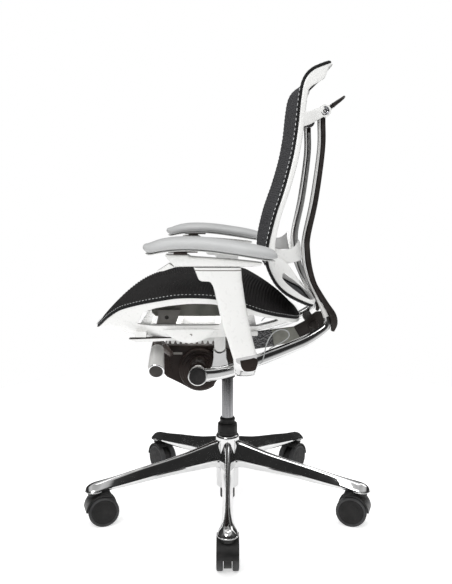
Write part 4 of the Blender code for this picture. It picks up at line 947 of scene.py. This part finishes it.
def make_seat_frame():
    loops = [shell_pair(angle) for angle in even_angles(180)]
    shell = piece("seat_shell", band(loops, 0.0068), "white", "seat", ["seat_frame"])
    for outline in SEAT_WINDOWS:
        window = smooth_outline(outline, 60)
        cut(shell, plate(window, 0.15, 0.30), plate(window, -0.30, -0.15))
    low, high = CARRIER_TOP + 0.0010, CARRIER_TOP + 0.0130
    rail = block((0.104, -0.190, low), (0.116, 0.062, high - 0.0005))
    rails = [block((-0.2035, -0.192, low), (0.2035, -0.168, high)),
             block((-0.2035, 0.040, low + 0.003), (0.2035, 0.062, high)), rail, mirrored(rail, -1)]
    piece("seat_rails", joined(*rails), "white", "seat", bevel=0.0016)
    lug = [(-0.156, high - 0.002), (-0.114, high - 0.002), (-0.108, 0.4830), (-0.102, 0.500), (-0.154, 0.500),
           (-0.152, 0.4840)]
    # grey lugs: painted shade of white lugs in the shadow under the seat
    lugs = pair("seat_lug", plate(lug, 0.107, 0.113), "grey_and_shade", "seat", bevel=0.0012)
    cut_pair(lugs, rod((0.1110, *LUG_HOLE), (0.1200, *LUG_HOLE), 0.0045, 32, 0.0001))
    # dark disc at the bottom of the lug's hole: painted shade of the hole
    pair("lug_hole_shade", rod((0.1090, *LUG_HOLE), (0.1118, *LUG_HOLE), 0.0043, 32, 0.0004), "dark", "seat",
         slot="white_shell")
    chassis = [(-0.1660, 0.4930), (-0.1580, 0.4850), (0.0180, 0.4850), (0.0200, 0.4870), (0.0200, 0.5250),
               (-0.0300, 0.5310), (-0.0900, 0.5300), (-0.1400, 0.5180), (-0.1660, 0.5050)]
    pair("seat_chassis", plate(chassis, 0.0990, 0.1066), "olive", "seat", bevel=0.0010)
    strip = [(-0.2060, 0.4532), (-0.1900, 0.4470), (-0.1600, 0.4475), (-0.0040, 0.4575), (-0.0040, 0.4625),
             (-0.1144, 0.4562)]
    pair("slide_strip", plate(strip, 0.1915, 0.2020), "white", "seat", bevel=0.0008)
    # dark strip on the seat shell above the slide: painted shadow of the gap between shell and slide
    slide_shadow_outline = [(-0.2040, 0.4530), (-0.1144, 0.4557), (-0.0050, 0.4622), (-0.0050, 0.4640), (-0.1144, 0.4590),
           (-0.2040, 0.4550)]
    pair("slide_shadow_line", plate(slide_shadow_outline, 0.1925, 0.2026), "cover", "seat", slot="white_shell")


def make_carrier():
    """The toothed slide under the seat, with its two rear pivot bosses."""
    low = CARRIER_TOP - 0.0195
    y, z = SEAT_BOSS
    bars = [block((-0.1722, y - BOSS_RADIUS, low), (0.1722, y + BOSS_RADIUS, CARRIER_TOP - 0.0001)),
            block((-0.118, -0.129, low + 0.004), (0.118, -0.108, CARRIER_TOP - 0.001))]
    piece("carrier_bars", joined(*bars), "white", "seat_carrier", ["seat_carrier"], bevel=0.0012)
    front, pitch, count = -0.133, 0.0118, 9
    teeth = [(front, CARRIER_TOP - 0.0002), (front, low - 0.010)]
    for index in range(count):
        start = front + 0.004 + index * pitch
        teeth += [(start, low - 0.010), (start + 0.002, low - 0.0035), (start + 0.0045, low - 0.0035),
                  (start + 0.0065, low - 0.010)]
    teeth += [(-0.022, low - 0.010), (-0.010, CARRIER_TOP - 0.004), (-0.010, CARRIER_TOP - 0.0002)]
    pair("rack", plate(teeth, 0.098, 0.1218), "white", "seat_carrier", bevel=0.0006)
    boss = arc(SEAT_BOSS, BOSS_RADIUS, -180, 0, 32)
    boss += [(y + BOSS_RADIUS, CARRIER_TOP - 0.001), (y - BOSS_RADIUS, CARRIER_TOP - 0.001)]
    pair("boss", plate(boss, 0.1510, 0.1718), "white", "seat_carrier", bevel=0.0014)


def make_depth_lever():
    """A paddle shaped like a slice of a lens, with fine vertical flutes and a thumb mark."""
    x, y, _ = DEPTH_LEVER
    centre = np.array([y, 0.4705])
    outline = [np.array(point) for point in smooth_outline(arc((y, 0.516), 0.0660, -146, -34, 24), 90)]
    rings = []
    for depth, share in ((0.0, 0.985), (0.0008, 1.0), (0.0030, 1.0), (0.0046, 0.985), (0.0060, 0.93),
                         (0.0072, 0.82), (0.0080, 0.62), (0.0084, 0.35), (0.0085, 0.02)):
        rings.append([(x + depth, *(centre + (point - centre) * share)) for point in outline])
    piece("depth_paddle", loft(rings), "fluted", "depth_lever", ["depth_lever"], sharp=60)
    mark = plate([(y + 0.001, 0.4700), (y + 0.006, 0.4700), (y + 0.006, 0.4665), (y + 0.0045, 0.4650),
                  (y + 0.0035, 0.4680), (y + 0.001, 0.4680)], x + 0.0070, x + 0.0087)
    piece("depth_mark", mark, "grey_and_shade", "depth_lever")


# Back


def back_side(count):
    """Even seam points (half width, y, z) from the bottom to the top, and the share of the way at each."""
    return smooth_path(BACK_EDGE, count), np.linspace(0, 1, count)


def rearward(side):
    """The direction that points out of the rear of the back at each seam point."""
    coarse = smooth_path(BACK_EDGE, 26)
    run = np.gradient(coarse[:, 1:], axis=0)
    flat = np.column_stack([np.zeros(len(run)), run[:, 1], -run[:, 0]])
    flat /= np.linalg.norm(flat, axis=1)[:, None]
    flat[-3:] = flat[-4]
    shares = np.linspace(0, 1, len(side))
    fine = np.column_stack([np.interp(shares, np.linspace(0, 1, 26), column) for column in flat.T])
    return fine / np.linalg.norm(fine, axis=1)[:, None]


def back_surface(rows, columns, lift):
    """Grid of the front face of the back, lifted forward of the seam."""
    side, shares = back_side(rows)
    out = rearward(side)
    step = np.sin(np.linspace(-pi / 2, pi / 2, columns))
    hollow = BACK_HOLLOW * np.minimum(1.0, np.minimum(6 * shares, 6 * (1 - shares))) ** 2
    depth = hollow[:, None] * (1 - step[None, :] ** 2) ** 2 - lift
    x = side[:, 0][:, None] * step[None, :]
    y = side[:, 1][:, None] + out[:, 1][:, None] * depth
    z = side[:, 2][:, None] + out[:, 2][:, None] * depth
    return np.stack([x, y, z], axis=2), side


def back_seam(inset, lift, count):
    """An endless loop round the back at a share of its half width, lifted forward of the seam."""
    side, _ = back_side(count)
    out = rearward(side)
    left = side.copy() - out * lift
    left[:, 0] = side[:, 0] * inset
    right = left[::-1] * np.array([-1, 1, 1])
    crossing = np.linspace(1, -1, 30)[1:-1, None]
    top = left[-1] * np.hstack([crossing, np.ones_like(crossing), np.ones_like(crossing)])
    bottom = left[0] * np.hstack([-crossing, np.ones_like(crossing), np.ones_like(crossing)])
    return np.vstack([left, top, right, bottom])


def make_back_mesh():
    surface, side = back_surface(700, 81, 0.0030)
    lengths = np.cumsum(np.r_[0, np.linalg.norm(np.diff(side, axis=0), axis=1)])
    phase = np.repeat((lengths / RIB_PITCH)[:, None], surface.shape[1], axis=1)
    step = np.linspace(-1, 1, surface.shape[1])
    fade = np.clip((1 - np.abs(step)) * 16, 0, 1)[None, :] * np.ones((surface.shape[0], 1))
    surface = ribbed(surface, phase, -0.0009 * fade)
    fabric = piece("back_fabric", (surface.reshape(-1, 3), grid_faces(*surface.shape[:2])), "back_mesh", "back",
                   ["back_mesh"], sharp=180)
    backing = fabric.modifiers.new("Backing", "SOLIDIFY")
    backing.thickness = 0.0016
    backing.offset = 1
    piping = piece("back_piping", ring_tube(back_seam(1.0, 0.0006, 200), 0.0029), "hem", "back")
    thread = piece("back_stitches", stitches(back_seam(1.010, 0.0037, 400), 0.0056, 0.0100, 0.00075),
                   "thread", "back")


def back_loop(count):
    """Pairs of front and rear edge points all the way round the back frame."""
    side, shares = back_side(count)
    depth = value_at(smooth_table(BACK_DEPTH), shares)
    left = []
    for (half, y, z), out, deep in zip(side, rearward(side), depth):
        front = np.array([half - 0.003, y, z]) + out * 0.0021
        left.append((front, front + out * deep))
    flip = np.array([-1.0, 1.0, 1.0])

    def scaled(pair, share):
        return tuple(point * np.array([share, 1, 1]) for point in pair)

    crossing = np.linspace(1, -1, 12)[1:-1]
    top = [scaled(left[-1], share) for share in crossing]
    bottom = [scaled(left[0], -share) for share in crossing]
    return left + top + [(a * flip, b * flip) for a, b in left[::-1]] + bottom


def make_back_frame():
    ring = piece("back_ring", band(back_loop(130), 0.0078, 5), "white", "back", ["back_frame"])
    slot = smooth_outline(BACK_SLOT, 50)
    cut(ring, plate(slot, 0.12, 0.25), plate(slot, -0.25, -0.12))
    # dark plate: painted shade in the slit under the top bar
    pair("top_slit_shade", plate(smooth_outline(TOP_SLIT_SHADE, 40), 0.1250, 0.1560), "hem", "back")
    waist = [(0.1950, 0.094, 0.622, 0.010, 0.040), (0.1820, 0.118, 0.622, 0.008, 0.030),
             (0.1660, 0.140, 0.626, 0.007, 0.032), (0.1440, 0.1520, 0.632, 0.0065, 0.042),
             (0.1300, 0.1525, 0.634, 0.0060, 0.044)]
    pair("waist_bracket", loft(sweep(smooth_path(waist, 24), (0.8, 0.6, 0.0), 3, 24)), "white", "back")
    wing = [(0.1665, 0.152, 0.902, 0.007, 0.030), (0.1630, 0.166, 0.905, 0.006, 0.026),
            (0.1570, 0.182, 0.912, 0.006, 0.022), (0.1540, 0.1990, 0.9195, 0.006, 0.020)]
    pair("back_wing", loft(sweep(smooth_path(wing, 20), (0.8, 0.6, 0.0), 3, 24)), "white", "back")
    eye = softened([(0.0094, 0.1487), (0.0126, 0.1487), (0.0126, 0.1575), (0.0094, 0.1575)])
    pair("wing_eye", turned(eye, (0, *PIVOT[1:]), ACROSS), "white", "back")


def socket_rings():
    line = [(0.1700, 0.0330, 0.3910, 0.034, 0.018), (0.2000, 0.0340, 0.3925, 0.038, 0.021),
            (0.2400, 0.0350, 0.3960, 0.043, 0.023), (0.2640, 0.0350, 0.4030, 0.046, 0.026),
            (0.2800, 0.0345, 0.4160, 0.047, 0.028), (ARM_X, 0.0335, SOCKET_TOP - 0.003, 0.047, 0.028)]
    rings = sweep(smooth_path(line, 30), (0, 1, 0), 3.0, 36)
    width, depth = line[-1][3:]
    rings[-1] = oval(np.array([ARM_X, line[-1][1], SOCKET_TOP]), np.array([0, 1.0, FOOT_SLOPE]),
                     np.array([-1.0, 0, 0]), width, depth, 3.0, 36)
    return rings


def make_supports():
    """The metal supports of the back: lower arm, covered upright, pivots, arm socket and middle spine."""
    line = smooth_path(SUPPORT_LINE, 120)
    rings = sweep(line, ACROSS, 3.0, 28)
    bend = int(np.argmax(line[:, 1])) + 2
    pair("support", loft(rings[:bend + 1]), "polished", "back", ["back_support_{}"])
    pair("upright", loft(rings[bend:]), "silver", "back")
    line = smooth_path(COVER_LINE, 90)
    cover = rounded_ends(sweep(line, ACROSS, 3.0, 24), 0.0012)
    pair("cover", loft(cover), "cover", "back", ["upright_cover_{}"])
    liner = line[10:-2].copy()
    liner[:, 0] -= liner[:, 3] / 2 + 0.0002
    liner[:, 3] = 0.0016
    liner[:, 4] *= 0.80
    pair("upright_liner", loft(sweep(liner, ACROSS, 3.0, 16)), "satin", "back")
    eye = [(0.0086, 0.174), (0.0195, 0.174), (0.0205, 0.1750), (0.0207, 0.1900), (0.0203, 0.1918),
           (0.0194, 0.1928), (0.0182, 0.1930), (0.0178, 0.1924), (0.0176, 0.1905), (0.0086, 0.1905)]
    pair("ankle_ring", turned(eye, ANKLE, ACROSS, 72), "polished", "back")
    cap = [(0.0002, 0.1907), (0.0172, 0.1907), (0.0172, 0.1952), (0.0166, 0.1962), (0.0150, 0.1965),
           (0.0002, 0.1962)]
    pair("ankle_disc", turned(cap, ANKLE, ACROSS, 64, capped=True), "black", "back", ["ankle_cap_{}"])
    cup = [(-0.0415, 0.372), (-0.0330, 0.392), (-0.0300, 0.408), (-0.0300, 0.4225)]
    cup += arc(SEAT_BOSS, 0.0133, -150, -30, 30)
    cup += [(-0.0030, 0.4225), (-0.0025, 0.408), (0.0015, 0.394), (0.0160, 0.384)]
    pair("seat_cup", plate(cup, 0.1530, 0.1760), "polished", "back", bevel=0.0016)
    pair("arm_socket", loft(socket_rings()), "polished", "back")
    inlay = [(0.0240, 0.4300), (0.0560, 0.4335), (0.0560, 0.4160), (0.0500, 0.4100), (0.0340, 0.4090),
             (0.0265, 0.4170)]
    pair("socket_inlay", plate(smooth_outline(inlay, 40), ARM_X + 0.0080, ARM_X + 0.0146), "housing", "back",
         bevel=0.0006)
    ring = [(0.0045, 0.0), (0.0112, 0.0), (0.0120, 0.0008), (0.0120, 0.0222), (0.0092, 0.0226),
            (0.0092, 0.0322), (0.0086, 0.0330), (0.0076, 0.0330), (0.0072, 0.0322), (0.0070, 0.0300),
            (0.0058, 0.0300), (0.0056, 0.0316), (0.0050, 0.0320), (0.0045, 0.0316)]
    pair("pivot_ring", turned(ring, PIVOT, ACROSS), "chrome", "back", ["top_pivot_{}"])
    screw = [(0.0012, 0.0290), (0.0044, 0.0290), (0.0044, 0.0322), (0.0036, 0.0332), (0.0022, 0.0332),
             (0.0018, 0.0312), (0.0012, 0.0310)]
    pair("pivot_screw", turned(screw, PIVOT, ACROSS, 32), "steel", "back")
    beam = [(0.1900, 0.4395), (0.2020, 0.4475), (0.2065, 0.4540), (0.2050, 0.4585), (0.1990, 0.4560),
            (0.1890, 0.4460)]
    piece("crossbar", plate(smooth_outline(beam, 60), -0.1300, 0.1300), "cover", "back", ["back_crossbar"])
    for part, outline, look, slot in SPINE:
        piece(f"spine_{part}", plate(outline, -0.0060, 0.0060), look, "back", slot=slot, bevel=0.0008)


def make_hanger():
    line = HANGER_LINE + [(-x, *rest) for x, *rest in HANGER_LINE[-2::-1]]
    rings = rounded_ends(sweep(smooth_path(line, 90), (0.0, -0.80, -0.60), 2.6, 24), 0.0008)
    piece("hanger_bar", loft(rings), "cover", "back", ["hanger"])


# Arms


def post_rings(count, sides):
    rings = []
    for z, front, rear in smooth_path(POST_OUTLINE, count):
        centre = np.array([ARM_X, (front + rear) / 2, z])
        slant = FOOT_SLOPE * max(0.0, 1 - (z - POST_OUTLINE[0][0]) / 0.03)
        rings.append(oval(centre, np.array([1.0, 0, 0]), np.array([0, 1.0, slant]), 0.0308, rear - front, 5,
                          sides))
    return rings


def pad_rings(count, sides, lift, thickness, half_width, trim=0.0):
    """Rings along an arm pad, lift above its underside line: crowned on top, rounded under its sides."""
    rings = []
    line = smooth_path(PAD_LINE, 200)
    start, end = PAD_LINE[0][0] + trim, PAD_LINE[-1][0] - trim
    for share in np.sin(np.linspace(-pi / 2, pi / 2, count)) / 2 + 0.5:
        y = start + share * (end - start)
        z = np.interp(y, line[:, 0], line[:, 1])
        swell = max(0.0, 1 - abs(2 * share - 1) ** 9) ** 0.5
        height = thickness * (0.12 + 0.88 * swell)
        width = 2 * half_width * (0.30 + 0.70 * max(0.0, 1 - abs(2 * share - 1) ** 5) ** 0.5)
        ring = []
        for angle in np.arange(sides) * 2 * pi / sides + pi / sides:
            c, s = cos(angle), sin(angle)
            power = 2.4 if s < 0 else 2.5
            x = np.sign(c) * abs(c) ** (2 / power) * width / 2
            up = height * np.sign(s) * abs(s) ** (2 / power) * (0.64 if s > 0 else 0.36)
            ring.append(np.array([ARM_X + x, y, z + lift + thickness * 0.36 + up]))
        rings.append(ring)
    return rings


def leaning_bar(low, high, half_width, half_depth):
    """A square bar inside the arm post, which leans forward as it rises."""
    corners = ((-1, -1), (1, -1), (1, 1), (-1, 1))
    rings = []
    for z in (low, high):
        y = 0.0235 - (z - 0.470) * ARM_SLOPE
        rings.append([(ARM_X + a * half_width, y + b * half_depth, z) for a, b in corners])
    return loft(rings)


def make_arms():
    posts = pair("post", loft(post_rings(70, 48)), "white", "back", ["arm_post_{}"], bevel=0.0008)
    cut_pair(posts, leaning_bar(0.4620, POST_TOP + 0.01, 0.0098, 0.0168))
    rings = []
    for z, grow in ((0.6058, 0.0), (0.6064, 0.0004), (0.6072, 0.0004), (0.6078, 0.0)):
        front, rear = (-0.0635 - (z - 0.6058) * 0.4) - grow, 0.0260 + grow
        centre = np.array([ARM_X, (front + rear) / 2, z])
        rings.append(oval(centre, np.array(ACROSS), np.array(FORWARD), 0.0308 + 2 * grow, rear - front, 5, 48))
    # grey ring at the post's top seam: painted shade of the groove
    pair("post_line", loft(rings), "grey_and_shade", "back")
    pair("arm_stem", leaning_bar(0.4700, CRADLE_BOTTOM + 0.004, 0.009, 0.016), "polished", "arm_{}",
         bevel=0.0012)
    rings = []
    for y, low, high in smooth_path(CRADLE_LINE, 60):
        centre = np.array([ARM_X, y, (low + high) / 2])
        rings.append(oval(centre, np.array(ACROSS), np.array(UP), 0.0378, high - low, 3.5, 32))
    pair("cradle", loft(rings), "white", "arm_{}", ["arm_cradle_{}"])
    lever = [(-0.1360, 0.6050), (-0.1130, 0.6196), (-0.1050, 0.6150), (-0.1040, 0.6122), (-0.1240, 0.6055)]
    pair("height_lever", plate(lever, ARM_X - 0.0138, ARM_X + 0.0138), "white", "arm_lever_{}",
         ["arm_lever_{}"], bevel=0.0010)
    # dark brown slider and block under the pad's front: painted shade under the arm pad
    pair("turntable", block((ARM_X - 0.0150, -0.1038, 0.6379), (ARM_X + 0.0150, -0.0782, 0.6402)), "brown",
         "pad_turntable_{}", ["pad_slider_{}"], bevel=0.0006)
    tray = loft(pad_rings(60, 40, -0.0026, 0.0040, PAD_HALF_WIDTH - 0.012, 0.004))
    pair("pad_tray", tray, "white", "pad_{}", ["arm_pad_base_{}"], slot="dark_plastic")
    pair("pad_rail", block((ARM_X - 0.010, -0.114, 0.6405), (ARM_X + 0.010, -0.058, 0.6470)), "brown", "pad_{}",
         bevel=0.0006)
    soft = loft(pad_rings(110, 56, 0.0, PAD_THICKNESS, PAD_HALF_WIDTH))
    pads = pair("pad_skin", soft, "pad", "pad_{}", ["arm_pad_{}"])
    for pad, (name, sign) in zip(pads, SIDES):
        make_cable(name, sign)


def make_cable(name, sign):
    """The control cable, on the route that its solid takes."""
    route = smooth_path([(sign * x, y, z) for x, y, z in CABLE_ROUTE], 40)
    curve = bpy.data.curves.new(f"cable_{name}", "CURVE")
    curve.dimensions = "3D"
    curve.bevel_depth = CABLE_DIAMETER / 2
    curve.bevel_resolution = 3
    curve.use_fill_caps = True
    spline = curve.splines.new("POLY")
    spline.points.add(len(route) - 1)
    for place, point in zip(spline.points, route):
        place.co = (*point, 1.0)
    curve.materials.append(LOOKS["cable"].material)
    made = bpy.data.objects.new(f"cable_{name}", curve)
    bpy.context.scene.collection.objects.link(made)
    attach(made, "back")
    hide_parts(f"arm_cable_{name}")


# Kept solids, studio and camera


def dress_kept_nodes():
    """The CAD solids that no piece replaces are bare steel parts inside the chair."""
    for node in ("thrust_bearing", "piston_rod", "retaining_clip", "ankle_shaft", "recline_spring"):
        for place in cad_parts[node].material_slots:
            place.material = LOOKS["steel"].material


def make_studio():
    """A round white floor and soft lights: above, behind, on the near side, and under the meshes."""
    turn = np.arange(96) * 2 * pi / 96
    rim = [(FLOOR_CENTRE_X + FLOOR_RADIUS * cos(a), FLOOR_RADIUS * sin(a), -0.0004) for a in turn]
    mesh = bpy.data.meshes.new("floor")
    mesh.from_pydata(rim, [], [tuple(range(96))])
    mesh.materials.append(LOOKS["floor"].material)
    floor = bpy.data.objects.new("floor", mesh)
    bpy.context.scene.collection.objects.link(floor)
    for name, place, target, size, power in LIGHTS:
        light = bpy.data.lights.new(name, "AREA")
        light.shape = "SQUARE"
        light.size = size
        light.energy = power
        made = bpy.data.objects.new(name, light)
        made.visible_glossy = name in ("key", "top", "rear")
        made.visible_camera = False
        made.location = place
        aim = Vector(target) - Vector(place)
        made.rotation_euler = aim.to_track_quat("-Z", "Y").to_euler()
        bpy.context.scene.collection.objects.link(made)
    make_world()


def make_world():
    """White behind the chair and soft light all round; mirrors see a dark room beyond the white floor."""
    world = bpy.data.worlds.new("studio")
    world.use_nodes = True
    nodes, link = world.node_tree.nodes, world.node_tree.links.new
    soft, white, room = nodes["Background"], nodes.new("ShaderNodeBackground"), nodes.new("ShaderNodeBackground")
    for shade, strength in ((soft, AMBIENT), (white, 1.0)):
        shade.inputs["Color"].default_value = (1.0, 1.0, 1.0, 1.0)
        shade.inputs["Strength"].default_value = strength
    place, split = nodes.new("ShaderNodeTexCoord"), nodes.new("ShaderNodeSeparateXYZ")
    height, ramp = nodes.new("ShaderNodeMapRange"), nodes.new("ShaderNodeValToRGB")
    height.inputs["From Min"].default_value = -1.0
    elements = ramp.color_ramp.elements
    while len(elements) < len(MIRROR_ROOM):
        elements.new(0.5)
    for element, (position, value) in zip(elements, MIRROR_ROOM):
        element.position = position
        element.color = (value, value, value, 1.0)
    kind, mirror, seen = (nodes.new(f"ShaderNode{name}") for name in ("LightPath", "MixShader", "MixShader"))
    link(place.outputs["Generated"], split.inputs["Vector"])
    link(split.outputs["Z"], height.inputs["Value"])
    link(height.outputs["Result"], ramp.inputs["Fac"])
    link(ramp.outputs["Color"], room.inputs["Color"])
    mixes = ((mirror, "Is Glossy Ray", soft, room), (seen, "Is Camera Ray", mirror, white))
    for mix, ray, other, shade in mixes:
        link(kind.outputs[ray], mix.inputs["Fac"])
        link(other.outputs[0], mix.inputs[1])
        link(shade.outputs[0], mix.inputs[2])
    link(seen.outputs["Shader"], nodes["World Output"].inputs["Surface"])
    bpy.context.scene.world = world


def make_camera():
    lens = bpy.data.cameras.new("camera")
    lens.lens = CAMERA_LENS
    lens.sensor_width = 36.0
    lens.clip_start = 0.05
    made = bpy.data.objects.new("camera", lens)
    made.location = CAMERA_PLACE
    made.rotation_euler = (pi / 2 - CAMERA_PITCH, 0.0, pi / 2)
    bpy.context.scene.collection.objects.link(made)
    bpy.context.scene.camera = made
    bpy.context.scene.view_settings.view_transform = "Standard"


make_camera()
make_base()
make_column()
make_casters()
make_mechanism()
make_handle()
make_seat_mesh()
make_seat_frame()
make_carrier()
make_depth_lever()
make_back_mesh()
make_back_frame()
make_supports()
make_hanger()
make_arms()
dress_kept_nodes()
make_studio()
